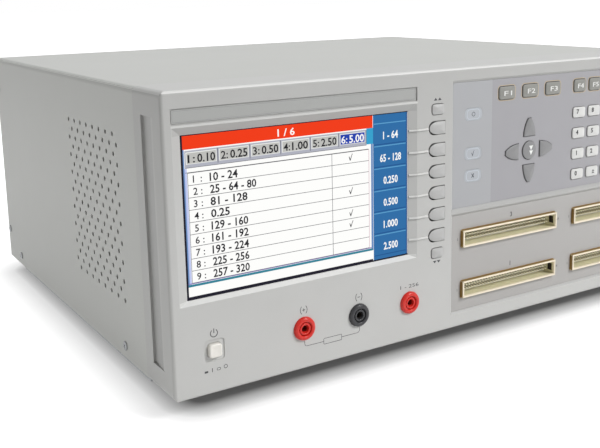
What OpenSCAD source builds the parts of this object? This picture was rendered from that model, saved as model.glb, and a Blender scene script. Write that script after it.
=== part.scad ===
// Bench cable harness tester: a 4U instrument case with a display, keys, two panels of header
// connectors and test jacks. Lengths are millimetres. The case stands on the plane z = 0, the
// front faces -Y and the origin is under the middle of the whole object.

/* [Case] */
// Width of the moulded front frame
body_w = 430; // [430:1:560]
// Height of the moulded front frame
body_h = 177; // [177:1:240]
// Depth from the front face to the back of the rear panel
body_d = 360; // [300:1:460]
// Depth of the moulded front frame
frame_d = 40; // [36:1:60]
// Height of the feet
foot_h = 12; // [8:0.5:20]
// Diameter of the feet
foot_d = 20; // [14:1:30]
// Thickness of the folded sheet metal
sheet = 1.2; // [0.8:0.1:2]
// How far the cover lies below the outside of the front frame
cover_inset = 0.6; // [0.5:0.1:2]
// Outer radius of the cover's folded edges
cover_r = 4; // [2.5:0.5:10]

/* [Front frame] */
// Thickness of the frame's face
face_t = 4; // [3.5:0.5:6]
// Thickness of the frame's side walls
frame_wall = 3; // [2:0.5:5]
// Radius of the frame's upright front corners
corner_r = 2; // [2:0.5:10]
// Radius of the frame's top and bottom front edges
edge_r = 2; // [1:0.5:8]
// Depth of the finger grooves in the frame's sides
scoop_depth = 1.6; // [0.8:0.1:2]
// Distance from the front face to where the grooves begin
scoop_start = 12; // [8:1:16]
// Distance from the front face to the steep end of the grooves
scoop_end = 29; // [22:1:32]
// Distance of the grooves' ends from the frame's top and bottom
scoop_margin = 15; // [10:1:30]

/* [Display] */
// Left edge of the visible display
screen_x = 11.4; // [9:0.1:20]
// Bottom edge of the visible display
screen_z = 58; // [50:0.5:64]
// Width of the visible display
screen_w = 156.4; // [130:0.2:160]
// Height of the visible display
screen_h = 94.2; // [80:0.2:95]
// Depth of the display below the front face
screen_sunk = 2.8; // [1.5:0.1:3]
// Width of the recess's slopes at the left and right
screen_slope_side = 5.8; // [2:0.1:7]
// Width of the recess's slope at the top
screen_slope_top = 4.6; // [2:0.1:6]
// Width of the recess's slope at the bottom
screen_slope_bottom = 2.6; // [1:0.1:6]
// Thickness of the display module
module_t = 7; // [4:0.5:9]
// Width of the display module's rim outside the visible area
module_rim = 5; // [3:0.5:6]

/* [Name strip] */
// Left edge of the sunk strip above the display
strip_x = 5.4; // [3:0.1:10]
// Bottom edge of the strip
strip_z = 158.4; // [158:0.2:162]
// Height of the strip
strip_h = 8.8; // [5:0.2:12]
// Depth of the strip
strip_sunk = 0.8; // [0.4:0.1:1.5]

/* [Sunk panels] */
// Left edge of both panels
panel_x = 204.2; // [201:0.1:207]
// Distance of the panels' right edge from the frame's right side
panel_margin_right = 10.1; // [8:0.1:20]
// Bottom edge of the lower panel
lower_panel_z = 11; // [8:0.5:16]
// Top edge of the lower panel
lower_panel_top = 78.2; // [76:0.2:80]
// Bottom edge of the upper panel
upper_panel_z = 83; // [80:0.2:86]
// Distance of the upper panel's top edge from the frame's top
upper_panel_margin = 9.7; // [7:0.1:12]
// Depth of the panels' surface below the front face
panel_sunk = 1.2; // [0.6:0.1:1.4]
// Width of the bevel round the panels
panel_bevel = 1.5; // [0.5:0.1:2]
// Thickness of the panels
panel_t = 1; // [0.5:0.1:1.2]

/* [Keys] */
// How far the keys stand above the surface round them
key_proud = 1.5; // [1.1:0.1:4]
// Travel of a key
key_travel = 0.8; // [0.4:0.1:1.2]
// Gap between a key and the edge of its hole
key_gap = 0.3; // [0.2:0.05:0.5]
// Thickness of the flange that keeps a key in
key_flange_t = 1.2; // [0.8:0.1:2]
// Width of the flange outside the hole
key_flange = 0.7; // [0.5:0.1:0.9]
// Diameter of the contact pill behind a key
pill_d = 3.5; // [2:0.5:5]
// Radius of the keys' front edges
key_edge_r = 1.1; // [0.2:0.1:1.4]
// Radius of the keys' corners
key_corner_r = 2; // [0.8:0.1:2.5]
// Width of a bullet-shaped side key
side_key_w = 13.3; // [12:0.1:16]
// Height of a bullet-shaped side key
side_key_h = 8.5; // [7:0.1:10.5]
// Left tip of the side keys
side_key_x = 183.2; // [181:0.1:185]
// Middle of the lowest side key
side_key_z = 68; // [67:0.2:70]
// Distance between side keys
side_key_pitch = 14.3; // [13.5:0.1:14.6]
// Width of the raised ribs that lead to the side keys
rib_w = 1; // [0.6:0.1:2]
// Height of the raised ribs
rib_h = 1; // [0.3:0.1:1.2]
// Width of a wide function key
wide_key_w = 14.8; // [12:0.1:19]
// Width of a narrow function key
narrow_key_w = 12.2; // [10:0.1:13.4]
// Height of the function keys
function_key_h = 8.9; // [7:0.1:10]
// Width of a number key
number_key_w = 12.6; // [10:0.1:13.4]
// Height of a number key
number_key_h = 7.7; // [6:0.1:12]
// Distance between columns of number keys
number_pitch_x = 15.7; // [15.4:0.1:16.8]
// Distance between rows of number keys
number_pitch_z = 15.1; // [14.4:0.05:15.8]
// Width and height of the start and stop keys
action_key = 20; // [16:1:22]
// Length of an arrow key from base to tip
arrow_key_l = 12.5; // [11:0.1:15]
// Width of an arrow key's base
arrow_key_w = 11.2; // [10:0.1:14]
// Diameter of the round key between the arrow keys
round_key_d = 13; // [11:0.5:15]

/* [Mains button] */
// Width and height of the mains button
mains_button = 8.2; // [7:0.1:12]
// Travel of the mains button
mains_travel = 3; // [2:0.5:4]

/* [Connectors and jacks] */
// Left edge of the left header connectors
header_x = 212.6; // [208:0.1:213]
// Middle of the lower header connectors
header_z = 25.9; // [22:0.1:27]
// Gap between the left and the right header connectors
header_gap = 18.2; // [12:0.1:19]
// Distance between the lower and the upper header connectors
header_pitch_z = 35.6; // [28:0.1:37]
// Length of a header connector
header_l = 89; // [75:0.5:92]
// Height of a header connector
header_h = 11.6; // [11:0.1:15]
// Wall thickness of a header connector
header_wall = 1.2; // [1:0.1:2]
// Depth of the header's socket
header_socket = 10.6; // [10.5:0.1:12]
// Length of the header's pins inside the socket
header_pin_l = 6; // [4:0.5:6]
// Pin pitch of a header
pin_pitch = 2.54; // [2.54:0.01:2.6]
// Side of a square header pin
pin_side = 0.64; // [0.5:0.02:0.8]
// How far a header stands above its panel
header_proud = 2.4; // [0.5:0.1:4]
// Middle of the left jack
jack_x = 86.4; // [60:0.2:90]
// Middle of the jacks' height
jack_z = 26.1; // [16:0.1:34]
// Distance between jacks
jack_pitch = 40.5; // [20:0.5:42]
// Diameter of a jack's flange
jack_flange_d = 15; // [12:0.5:18]
// How far a jack stands above the face
jack_proud = 2.2; // [2:0.1:6]
// Diameter of the jack's contact bore
jack_bore_d = 4; // [3.9:0.1:4.2]
// Diameter of a jack's barrel behind the face
jack_barrel_d = 11; // [10:0.5:12]

/* [Rear] */
// Thickness of the rear panel
rear_t = 1.5; // [1:0.1:3]
// Side of the fan's square housing
fan_side = 60; // [50:1:80]
// Depth of the fan's housing
fan_d = 15; // [12:1:25]
// Number of fan blades
fan_blades = 7; // [5:1:9]
// Diameter of the fan's shaft
fan_shaft_d = 3; // [2:0.5:5]
// Diameter of the earth stud
stud_d = 4; // [4:1:6]
// How far the earth stud stands out of the rear panel
stud_out = 14; // [10:1:20]

/* [Vents] */
// Diameter of a vent hole
vent_d = 3.1; // [1.5:0.1:4]
// Distance between vent holes along a row
vent_pitch = 12.1; // [10:0.1:16]
// Height of the lowest row of vent holes
vent_z = 40.6; // [36:0.1:60]
// Distance from the front face to the first column of vent holes
vent_y = 72.6; // [60:0.2:90]

/* [Hidden] */
$fn = 48;

// Clearances that several pieces share
cut = 1;            // how far a cut runs past the surface it starts from
fit = 0.2;          // gap round a piece that sits in a cut-out
slide_fit = 0.1;    // gap of a piece that slides or turns in a hole
seat = 0.1;         // gap between a key's flange and the wall it rests against

// Whole object
mains_proud = 2.2;
y_mid = (body_d + stud_out - max(jack_proud, key_proud, mains_proud)) / 2;
cover_z0 = 1.3;
side_in = cover_inset + sheet + slide_fit;
tray_z = -1.5;
tray_step_y = body_d - 44;
rear_in = body_d - rear_t;

// Display and its recess
screen_lip = 0.6;
lcd_board_in = [20, 12];
screen_right = screen_x + screen_w;
screen_top = screen_z + screen_h;
recess_x0 = screen_x - screen_slope_side;
recess_x1 = screen_right + screen_slope_side;
recess_z0 = screen_z - screen_slope_bottom;
recess_z1 = screen_top + screen_slope_top;

// Sunk panels
panel_right = body_w - panel_margin_right;
upper_panel_top = body_h - upper_panel_margin;
panel_back = panel_sunk + panel_t;

// Keys and their board
pad_y = 9.5;
board_t = 1.6;
key_seat_y = face_t + seat;
side_key_middle = side_key_x + side_key_w / 2;
page_key_w = 10;
page_key_h = 6.8;
page_key_x = side_key_x + 7.3;
page_key_step = 12.1;
page_key_zs = [side_key_z - page_key_step, side_key_z + 5 * side_key_pitch + page_key_step];
number_x = 322.9;
number_z = 92.8;
function_row_z = 157.5;
wide_key_x = 251.7;
wide_key_pitch = 22;
action_x = number_x + 4.75 * number_pitch_x;
action_zs = [number_z + 0.5 * number_pitch_z, number_z + 2.5 * number_pitch_z];
enter_h = 2 * number_pitch_z + number_key_h;
arrow_x = 273.9;
arrow_z = 115.6;
arrow_base = 10.05;
arrow_blunt = 1.7;
lens_x = 222.1;
lens_zs = [145.5, 119.1, 103.9];
lens_w = 15;
lens_h = 8.5;
lens_r = 3;
lens_lap = 2;
board_edge = 8;
board_inset = 5;
board_margin = 1;
board_socket = [30, 6, 6];
board_socket_x = 281;
board_socket_z = 144;
board_post_d = 5;
board_posts = [[237, 90], [237, 146], [309, 90], [309, 146], [action_x, 150]];

// Mains button
mains_x = 25.9;
mains_z = 26.5;
mains_surround = 12.8;
mains_surround_sunk = 0.5;
mains_stem_y = 13;
mains_stem_d = 4;
mains_switch = [16, 18, 20];
mains_leg = [10, 2];

// Jacks
sleeve_d = jack_bore_d + 2;
jack_back = 22;
jack_mouth = 0.5;
jack_nose = 1.8;
jack_nose_sunk = 0.6;
jack_groove = 0.6;
jack_floor = 0.2;
jack_dome = [[0.14, 1], [0.45, 1], [0.7, 0.84], [0.9, 0.52], [1, 0.2]];
jack_nut = [2, 3.5];
sleeve_end = 1;
tail_d = 2;
tail_l = 5;

// Headers
header_front = panel_sunk - header_proud;
header_floor = header_front + header_socket;
header_back = header_floor + 2.4;
header_ear = 4;
header_ear_t = 3;
header_window = [3.8, 5];
header_window_in = 2.6;
header_end = 3.8;
header_columns = floor((header_l - 2 * header_end) / pin_pitch);
header_places = [for (row = [0, 1]) for (col = [0, 1])
    [header_x + col * (header_l + header_gap), header_z + row * header_pitch_z - header_h / 2]];

// Cover, tray and vents
seam = 0.3;
tray_step_run = 3;
tray_window = [30, 60, 30];
tray_window_edge = 25;
cover_under = body_h - cover_inset - sheet - slide_fit;
tray_flange_h = 28;
rear_flange = 14;
rear_flange_in = 15;
vent_rows = 18;
vent_columns = 8;
vent_row = 6.14;

// Boards and transformer
main_x0 = 165;
main_x1 = body_w - 20;
main_y0 = frame_d + 25;
main_y1 = body_d - 90;
main_z = tray_z + sheet + 8;
main_post_d = 6;
chip = [28, 28, 3];
chip_x = main_x0 + 15;
chip_y = main_y1 - 60;
can_d = 10;
can_h = 16;
can_x = main_x0 + 70;
can_y = main_y1 - 20;
can_pitch = 16;
card_h = 110;
card_pitch = 23;
card_y = main_y0 + 12;
card_count = floor((chip_y - main_y0 - 7) / card_pitch);
card_in = [25, 15];
card_lift = 4;
edge_socket = [10, 3, 8];
relay = [18, 8, 20];
relay_first = [34, 16];
relay_pitch = [25, 28];
transformer_x = 50;
transformer_y = body_d - 130;
core = [66, 32, 55];
core_y = 10;
core_window = 11;
winding_over = 10;
transformer_foot = [94, 28, 3];

// Rear
inlet_x = 62;
inlet_z = 52;
inlet = [27, 19.8];
inlet_flange = [50, 23.8];
inlet_d = 19;
inlet_socket = [24.4, 16.4, 17];
inlet_corner = 4.8;
blade = [2, 4, 13];
blade_places = [[-7, -2], [7, -2], [0, 2]];
fan_x = body_w - 105;
fan_z = 105;
port_z = 60;
port_xs = [150, 215];
port_ws = [53, 31];
port_ears = 14;
port_h = 8.4;
port_taper = 1.8;
port_flange = [1, 12.4, 1.5];
port_in = 9;
port_out = 6;
port_nut_d = 5;
port_nut_in = 3.5;
inlet_screws = 40;
inlet_flange_t = 2.5;
inlet_flange_r = 5;
fan_screw = fan_side / 2 - 5;
fan_hub_d = 24;
fan_strut = 2.5;
fan_strut_w = 3;
fan_wall = 1.5;
fan_tip_gap = 1;
fan_end_gap = 0.7;
blade_pitch_angle = 38;
blade_w = 12;
blade_t = 1.2;
grille_pitch = 6;
grille_rings = 4;
grille_slot = 0.7;
grille_bar = 3;
stud_nut = 3;
stud_x = 105;
stud_z = 30;

// Screws
screw_d = 3;
screw_hole = screw_d + 2 * slide_fit;
head_d = 6;
head_h = 1;
sheet_screw = 6;
rear_screw = 8;
frame_screw = 10;
side_screws = [[77, 9.3], [body_d - 37, 9.3], [body_d - 5.4, 26.6], [body_d - 5.4, body_h - 26.6]];
boss_d = 8;
boss_in = 12;
boss_places = [for (x = [boss_in, body_w - boss_in]) for (z = [boss_in, body_h - boss_in]) [x, z]];
foot_chamfer = 1.2;
foot_taper = 1.2;
foot_floor = 5;
foot_in = [45, 24];
foot_places = [for (x = [foot_in[0], body_w - foot_in[0]])
    for (y = [frame_d + foot_in[1], tray_step_y - foot_in[1]]) [x, y]];

module place() translate([-body_w / 2, -y_mid, foot_h]) children();

// An outline in X and Z, thick from y0 to y1
module front_slab(y0, y1) translate([0, y1, 0]) rotate([90, 0, 0]) linear_extrude(y1 - y0) children();

// An outline in X and Y, thick from z0 to z1
module level_slab(z0, z1) translate([0, 0, z0]) linear_extrude(z1 - z0) children();

// An outline in Y and Z, thick from x0 to x1
module side_slab(x0, x1) translate([x0, 0, 0]) rotate([90, 0, 90]) linear_extrude(x1 - x0) children();

// A rod along Y
module rod(x, z, d, y0, y1) translate([x, y1, z]) rotate([90, 0, 0]) cylinder(d = d, h = y1 - y0);

// A block from one corner to the other
module block(a, b) translate(a) cube(b - a);

module round_rect(x0, z0, x1, z1, r) {
    translate([x0 + r, z0]) square([x1 - x0 - 2 * r, z1 - z0]);
    translate([x0, z0 + r]) square([x1 - x0, z1 - z0 - 2 * r]);
    for (x = [x0 + r, x1 - r]) for (z = [z0 + r, z1 - r]) translate([x, z]) circle(r);
}

// Width u0 to u1 across, depth v0 to v1, with both corners at v0 rounded
module nosed(u0, u1, v0, v1, r) {
    translate([u0, v0 + r]) square([u1 - u0, v1 - v0 - r]);
    translate([u0 + r, v0]) square([u1 - u0 - 2 * r, r]);
    for (u = [u0 + r, u1 - r]) translate([u, v0 + r]) circle(r);
}

// Cuts an outline's solid to rounded front edges, on the box x0 to x1, z0 to z1 from y0 back to y1
module soften(x0, z0, x1, z1, y0, y1, r) intersection() {
    children();
    level_slab(z0 - cut, z1 + cut) nosed(x0, x1, y0, y1, r);
    side_slab(x0 - cut, x1 + cut) mirror([1, -1]) nosed(z0, z1, y0, y1, r);
}

// A recess that starts as the rectangle x0 to x1, z0 to z1 on the face and narrows by the four slopes
module funnel(x0, z0, x1, z1, depth, left, right, low, high) intersection() {
    level_slab(z0, z1) polygon([[x0, -cut], [x0, 0], [x0 + left, depth], [x1 - right, depth],
        [x1, 0], [x1, -cut]]);
    side_slab(x0, x1) polygon([[-cut, z0], [0, z0], [depth, z0 + low], [depth, z1 - high],
        [0, z1], [-cut, z1]]);
}

// Outlines of the keys, each grown by g
module box_outline(x, z, w, h, g = 0, r = key_corner_r)
    round_rect(x - w / 2 - g, z - h / 2 - g, x + w / 2 + g, z + h / 2 + g, r + g);

module bullet_outline(z, g = 0) {
    r = side_key_h / 2;
    translate([side_key_x + r, z]) circle(r + g);
    translate([side_key_x + r, z - r - g]) square([side_key_w - r + g, 2 * (r + g)]);
}

// An arrow key lies between two circles, cut square a little short of their crossing
module arrow_outline(angle, g = 0) translate([arrow_x, arrow_z]) rotate(-angle)
    translate([0, arrow_base]) intersection() {
        r = pow(arrow_key_l + arrow_blunt, 2) / arrow_key_w + arrow_key_w / 4;
        translate([r - arrow_key_w / 2, 0]) circle(r + g);
        translate([arrow_key_w / 2 - r, 0]) circle(r + g);
        translate([-arrow_key_w, -g]) square([2 * arrow_key_w, arrow_key_l + 2 * g]);
    }

module round_outline(g = 0) translate([arrow_x, arrow_z]) circle(d = round_key_d + 2 * g);

function number_key_x(i) = number_x + (i % 3) * number_pitch_x;
function number_key_z(i) = number_z + floor(i / 3) * number_pitch_z;
function function_key_x(i) = i < 3 ? wide_key_x + i * wide_key_pitch : number_x + (i - 3) * number_pitch_x;
function function_key_w(i) = i < 3 ? wide_key_w : narrow_key_w;

module side_key_outlines(g) {
    for (i = [0:5]) bullet_outline(side_key_z + i * side_key_pitch, g);
    for (z = page_key_zs) box_outline(page_key_x, z, page_key_w, page_key_h, g);
}

module panel_key_outlines(g) {
    for (i = [0:5]) box_outline(function_key_x(i), function_row_z, function_key_w(i), function_key_h, g);
    for (i = [0:11]) box_outline(number_key_x(i), number_key_z(i), number_key_w, number_key_h, g);
    for (angle = [0:90:270]) arrow_outline(angle, g);
    round_outline(g);
    box_outline(number_key_x(2) + number_pitch_x, number_key_z(9), number_key_w, number_key_h, g);
    box_outline(number_key_x(2) + number_pitch_x, number_key_z(3), number_key_w, enter_h, g);
    for (z = action_zs) box_outline(action_x, z, action_key, action_key, g);
}

module lens_outlines(g) for (z = lens_zs) box_outline(lens_x, z, lens_w, lens_h, g, lens_r);

module header_outlines(g) for (p = header_places)
    translate([p[0] - g, p[1] - g]) square([header_l + 2 * g, header_h + 2 * g]);

// The frame's outer block, with rounded front corners and edges
module frame_block() soften(0, 0, body_w, body_h, 0, frame_d + cut, edge_r) intersection() {
    front_slab(0, frame_d) round_rect(0, 0, body_w, body_h, cover_r);
    level_slab(0, body_h) nosed(0, body_w, 0, frame_d + cut, corner_r);
}

// A finger groove: shallow at the front, steep at the back
module groove() level_slab(scoop_margin, body_h - scoop_margin)
    polygon([[-cut, scoop_start], [0, scoop_start], [scoop_depth, scoop_end], [-cut, scoop_end]]);

module panel_pocket(z0, z1) {
    funnel(panel_x - panel_bevel, z0 - panel_bevel, panel_right + panel_bevel, z1 + panel_bevel,
        panel_sunk, panel_bevel, panel_bevel, panel_bevel, panel_bevel);
    block([panel_x, panel_sunk - cut, z0], [panel_right, panel_back, z1]);
}

// A rib runs down the recess's slope from the display's edge and on to its key
module key_rib(z) level_slab(z - rib_w / 2, z + rib_w / 2) polygon([
    [screen_right, screen_sunk - screen_lip], [recess_x1, 0], [side_key_x - 1, 0],
    [side_key_x - 1, -rib_h], [recess_x1, -rib_h], [screen_right, screen_sunk - screen_lip - rib_h]]);

module front_bezel() color("#bfbfbc") place() {
    difference() {
        frame_block();
        block([frame_wall, face_t, frame_wall], [body_w - frame_wall, frame_d + cut, body_h - frame_wall]);
        groove();
        translate([body_w, 0, 0]) mirror([1, 0, 0]) groove();
        funnel(recess_x0, recess_z0, recess_x1, recess_z1, screen_sunk - screen_lip,
            screen_slope_side, screen_slope_side, screen_slope_bottom, screen_slope_top);
        block([screen_x, 0, screen_z], [screen_right, face_t + cut, screen_top]);
        block([screen_x - module_rim - fit, screen_sunk, screen_z - module_rim - fit],
            [screen_right + module_rim + fit, face_t + cut, screen_top + module_rim + fit]);
        block([strip_x, -cut, strip_z], [recess_x1, strip_sunk, strip_z + strip_h]);
        panel_pocket(upper_panel_z, upper_panel_top);
        panel_pocket(lower_panel_z, lower_panel_top);
        front_slab(-cut, face_t + cut) {
            side_key_outlines(key_gap);
            panel_key_outlines(key_gap);
            lens_outlines(-lens_lap);
            header_outlines(fit);
            box_outline(mains_x, mains_z, mains_button, mains_button, key_gap);
            for (i = [0:2]) translate([jack_x + i * jack_pitch, jack_z]) circle(d = jack_barrel_d + fit);
        }
        front_slab(-cut, mains_surround_sunk) box_outline(mains_x, mains_z, mains_surround, mains_surround);
    }
    for (i = [0:5]) key_rib(side_key_z + i * side_key_pitch);
    for (p = boss_places) difference() {
        rod(p[0], p[1], boss_d, face_t, frame_d);
        rod(p[0], p[1], screw_hole, frame_d - frame_screw - 2, frame_d + cut);
    }
    for (p = board_posts) rod(p[0], p[1], board_post_d, face_t, pad_y);
}

module lcd_module() color("#2f6fb0") place() {
    block([screen_x - module_rim, screen_sunk, screen_z - module_rim],
        [screen_right + module_rim, screen_sunk + module_t, screen_top + module_rim]);
    block([screen_x + lcd_board_in[0], screen_sunk + module_t, screen_z + lcd_board_in[1]],
        [screen_right - lcd_board_in[0], screen_sunk + module_t + board_t, screen_top - lcd_board_in[1]]);
}

// A panel's plate, loose in its pocket by the sliding fit
module panel_outline(z0, z1) translate([panel_x + slide_fit, z0 + slide_fit])
    square([panel_right - panel_x - 2 * slide_fit, z1 - z0 - 2 * slide_fit]);

module keypad_panel() color("#b4b6ba") place() front_slab(panel_sunk, panel_back) difference() {
    panel_outline(upper_panel_z, upper_panel_top);
    panel_key_outlines(key_gap);
    lens_outlines(slide_fit);
}

module connector_panel() color("#b4b6ba") place() front_slab(panel_sunk, panel_back) difference() {
    panel_outline(lower_panel_z, lower_panel_top);
    header_outlines(fit);
}

module indicator_lenses() color("#c9d3dc") place() front_slab(panel_sunk, panel_back) lens_outlines(0);

// A header connector: a deep socket open to the front, a window at its right end, ears behind the wall
module header_connectors() color("#efe3c2") place() for (p = header_places) translate([p[0], 0, p[1]])
    difference() {
        window_y = header_front + header_window_in;
        union() {
            block([0, header_front, 0], [header_l, header_back, header_h]);
            block([-header_ear, face_t, 0], [header_l + header_ear, face_t + header_ear_t, header_h]);
        }
        block([header_wall, header_front - cut, header_wall],
            [header_l - header_wall, header_floor, header_h - header_wall]);
        block([header_l - header_wall - cut, window_y, (header_h - header_window[1]) / 2],
            [header_l - header_wall / 3, window_y + header_window[0], (header_h + header_window[1]) / 2]);
    }

module header_pins() color("#d9b45a") place() for (p = header_places)
    for (column = [0:header_columns - 1]) for (row = [-1, 1])
        translate([p[0] + header_l / 2 + (column - (header_columns - 1) / 2) * pin_pitch - pin_side / 2,
            header_floor - header_pin_l, p[1] + header_h / 2 + row * pin_pitch / 2 - pin_side / 2])
            cube([pin_side, header_pin_l, pin_side]);

// A jack's plastic body, turned about its axis: a nose round the contact, a narrow groove, a domed
// flange, the barrel and its nut
module jack_body(i) translate([jack_x + i * jack_pitch, 0, jack_z]) rotate([-90, 0, 0]) rotate_extrude() {
    mouth = jack_bore_d / 2 + jack_mouth;
    bore = (sleeve_d + slide_fit) / 2;
    nose = jack_bore_d / 2 + jack_nose;
    dome = nose + jack_groove;
    polygon(concat([[bore, -slide_fit], [mouth, -slide_fit], [mouth, jack_nose_sunk - jack_proud],
        [nose, jack_nose_sunk - jack_proud], [nose, -jack_floor], [dome, -jack_floor]],
        [[dome, jack_groove - jack_proud]],
        [for (p = jack_dome) [dome + p[0] * (jack_flange_d / 2 - dome), -p[1] * jack_proud]],
        [[jack_flange_d / 2, 0], [jack_barrel_d / 2, 0], [jack_barrel_d / 2, jack_back], [bore, jack_back]]));
    translate([jack_barrel_d / 2, face_t]) square(jack_nut);
}

module red_jacks() color("#d3363c") place() { jack_body(0); jack_body(2); }
module black_jack() color("#222326") place() jack_body(1);

// Contact sleeves: bored from the front, closed and flanged at the back, with a solder tail
module jack_contacts() color("#c9a24d") place() for (i = [0:2])
    translate([jack_x + i * jack_pitch, 0, jack_z]) rotate([-90, 0, 0]) difference() {
        union() {
            cylinder(d = sleeve_d, h = jack_back + cut);
            translate([0, 0, jack_back]) cylinder(d = sleeve_d + 2, h = sleeve_end);
            translate([0, 0, jack_back + sleeve_end]) cylinder(d = tail_d, h = tail_l);
        }
        translate([0, 0, -cut]) cylinder(d = jack_bore_d, h = jack_back);
    }

// A key: softened cap through the wall, flange behind it, contact pill in front of the board.
// The first child is the cap's outline and the second the flange's.
module key(x, z, w, h, face_y) {
    soften(x - w / 2, z - h / 2, x + w / 2, z + h / 2, face_y - key_proud, key_seat_y + cut, key_edge_r)
        front_slab(face_y - key_proud, key_seat_y) children(0);
    front_slab(key_seat_y, key_seat_y + key_flange_t) children(1);
    rod(x, z, pill_d, key_seat_y + key_flange_t, pad_y - key_travel - slide_fit);
}

module box_key(x, z, w, h, face_y = panel_sunk) place() key(x, z, w, h, face_y) {
    box_outline(x, z, w, h);
    box_outline(x, z, w, h, key_gap + key_flange);
}

module side_key(i) color("#b9b9b7") place() {
    z = side_key_z + i * side_key_pitch;
    key(side_key_middle, z, side_key_w, side_key_h, 0) {
        bullet_outline(z);
        bullet_outline(z, key_gap + key_flange);
    }
}

module page_key(i) color("#b9b9b7") box_key(page_key_x, page_key_zs[i], page_key_w, page_key_h, 0);

module function_key(i) color("#8e8e88")
    box_key(function_key_x(i), function_row_z, function_key_w(i), function_key_h);

module arrow_key(angle) color("#8f8f8f") place() {
    middle = arrow_base + arrow_key_l / 2;
    x = arrow_x + middle * sin(angle);
    z = arrow_z + middle * cos(angle);
    across = angle % 180 == 0;
    key(x, z, across ? arrow_key_w : arrow_key_l, across ? arrow_key_l : arrow_key_w, panel_sunk) {
        arrow_outline(angle);
        arrow_outline(angle, key_gap + key_flange);
    }
}

module round_key() color("#8a8a8a") place() {
    translate([arrow_x, panel_sunk - key_proud, arrow_z]) rotate([-90, 0, 0]) rotate_extrude()
        intersection() {
            nosed(-round_key_d / 2, round_key_d / 2, 0, key_proud + key_seat_y - panel_sunk, key_edge_r);
            square([round_key_d, frame_d]);
        }
    front_slab(key_seat_y, key_seat_y + key_flange_t) round_outline(key_gap + key_flange);
    rod(arrow_x, arrow_z, pill_d, key_seat_y + key_flange_t, pad_y - key_travel - slide_fit);
}

module number_key(i) color("#e6e6e4")
    box_key(number_key_x(i), number_key_z(i), number_key_w, number_key_h);
module back_key() color("#8e8e88")
    box_key(number_key_x(2) + number_pitch_x, number_key_z(9), number_key_w, number_key_h);
module enter_key() color("#8e8e88")
    box_key(number_key_x(2) + number_pitch_x, number_key_z(3), number_key_w, enter_h);
module start_key() color("#3f9a57") box_key(action_x, action_zs[0], action_key, action_key);
module stop_key() color("#c23b34") box_key(action_x, action_zs[1], action_key, action_key);

// The key contact board, bent round the header connectors
module keypad_board() color("#2d6b46") place() {
    front_slab(pad_y, pad_y + board_t) {
        translate([side_key_x - board_inset, page_key_zs[0] - board_edge])
            square([panel_x - side_key_x + board_inset, page_key_zs[1] - page_key_zs[0] + 2 * board_edge]);
        translate([panel_x - cut, upper_panel_z + board_margin])
            square([panel_right - panel_x - board_inset, upper_panel_top - upper_panel_z - 2 * board_margin]);
    }
    translate([board_socket_x, pad_y + board_t, board_socket_z]) cube(board_socket);
}

// The mains button: cap, flange behind the wall, and a stem that pushes the switch
module power_button() color("#ece7dc") place() {
    soften(mains_x - mains_button / 2, mains_z - mains_button / 2, mains_x + mains_button / 2,
        mains_z + mains_button / 2, -mains_proud, key_seat_y + cut, key_edge_r)
        front_slab(-mains_proud, key_seat_y) box_outline(mains_x, mains_z, mains_button, mains_button);
    front_slab(key_seat_y, key_seat_y + key_flange_t)
        box_outline(mains_x, mains_z, mains_button, mains_button, key_gap + key_flange);
    rod(mains_x, mains_z, mains_stem_d, key_seat_y + key_flange_t, mains_stem_y + 1);
}

// The switch body, with a bore for the stem and two legs that carry it on the frame's face
module power_switch() color("#2a2a2c") place() difference() {
    union() {
        block([mains_x - mains_switch[0] / 2, mains_stem_y, mains_z - mains_switch[2] / 2],
            [mains_x + mains_switch[0] / 2, mains_stem_y + mains_switch[1], mains_z + mains_switch[2] / 2]);
        for (z = [mains_z - mains_switch[2] / 2, mains_z + mains_switch[2] / 2 - mains_leg[1]])
            block([mains_x - mains_leg[0] / 2, face_t, z],
                [mains_x + mains_leg[0] / 2, mains_stem_y, z + mains_leg[1]]);
    }
    rod(mains_x, mains_z, mains_stem_d + 2 * slide_fit, mains_stem_y - cut, mains_stem_y + mains_travel + 2);
}

// The tray: a floor with a step near the back, side flanges, and a front wall that the frame is screwed to
module chassis_tray() color("#a9aaa8") place() {
    difference() {
        side_slab(side_in, body_w - side_in) polygon([[frame_d, tray_z], [tray_step_y, tray_z],
            [tray_step_y + tray_step_run, cover_z0], [rear_in, cover_z0], [rear_in, cover_z0 + sheet],
            [tray_step_y + tray_step_run - sheet / 3, cover_z0 + sheet],
            [tray_step_y - sheet / 3, tray_z + sheet], [frame_d, tray_z + sheet]]);
        for (p = foot_places) translate([p[0], p[1], tray_z - cut])
            cylinder(d = screw_hole, h = sheet + 2 * cut);
    }
    difference() {
        for (x = [side_in, body_w - side_in - sheet]) side_slab(x, x + sheet) {
            translate([frame_d, tray_z]) square([tray_step_y - frame_d, tray_flange_h]);
            translate([tray_step_y - cut, cover_z0])
                square([rear_in - rear_flange - tray_step_y, tray_z + tray_flange_h - cover_z0]);
        }
        side_screw_holes();
    }
    front_slab(frame_d, frame_d + sheet) difference() {
        round_rect(side_in, tray_z, body_w - side_in, cover_under, cover_r - sheet);
        translate([tray_window[0], tray_window[1]])
            square([(body_w - 3 * tray_window[0]) / 2, body_h - tray_window_edge - tray_window[1]]);
        translate([(body_w + tray_window[0]) / 2, tray_window[2]])
            square([(body_w - 3 * tray_window[0]) / 2, body_h - tray_window_edge - tray_window[2]]);
        for (p = boss_places) translate(p) circle(d = screw_hole);
    }
}

module side_screw_holes() for (p = side_screws) translate([-cut, p[0], p[1]]) rotate([0, 90, 0])
    cylinder(d = screw_hole, h = body_w + 2 * cut);

// Vent holes: every other row, the top one too, sits half a pitch further back
module vent_holes() for (row = [0:vent_rows - 1]) for (column = [0:vent_columns - 1])
    translate([-cut, vent_y + (column + (row % 2) / 2) * vent_pitch, vent_z + row * vent_row])
        rotate([0, 90, 0]) cylinder(d = vent_d, h = body_w + 2 * cut);

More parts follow.
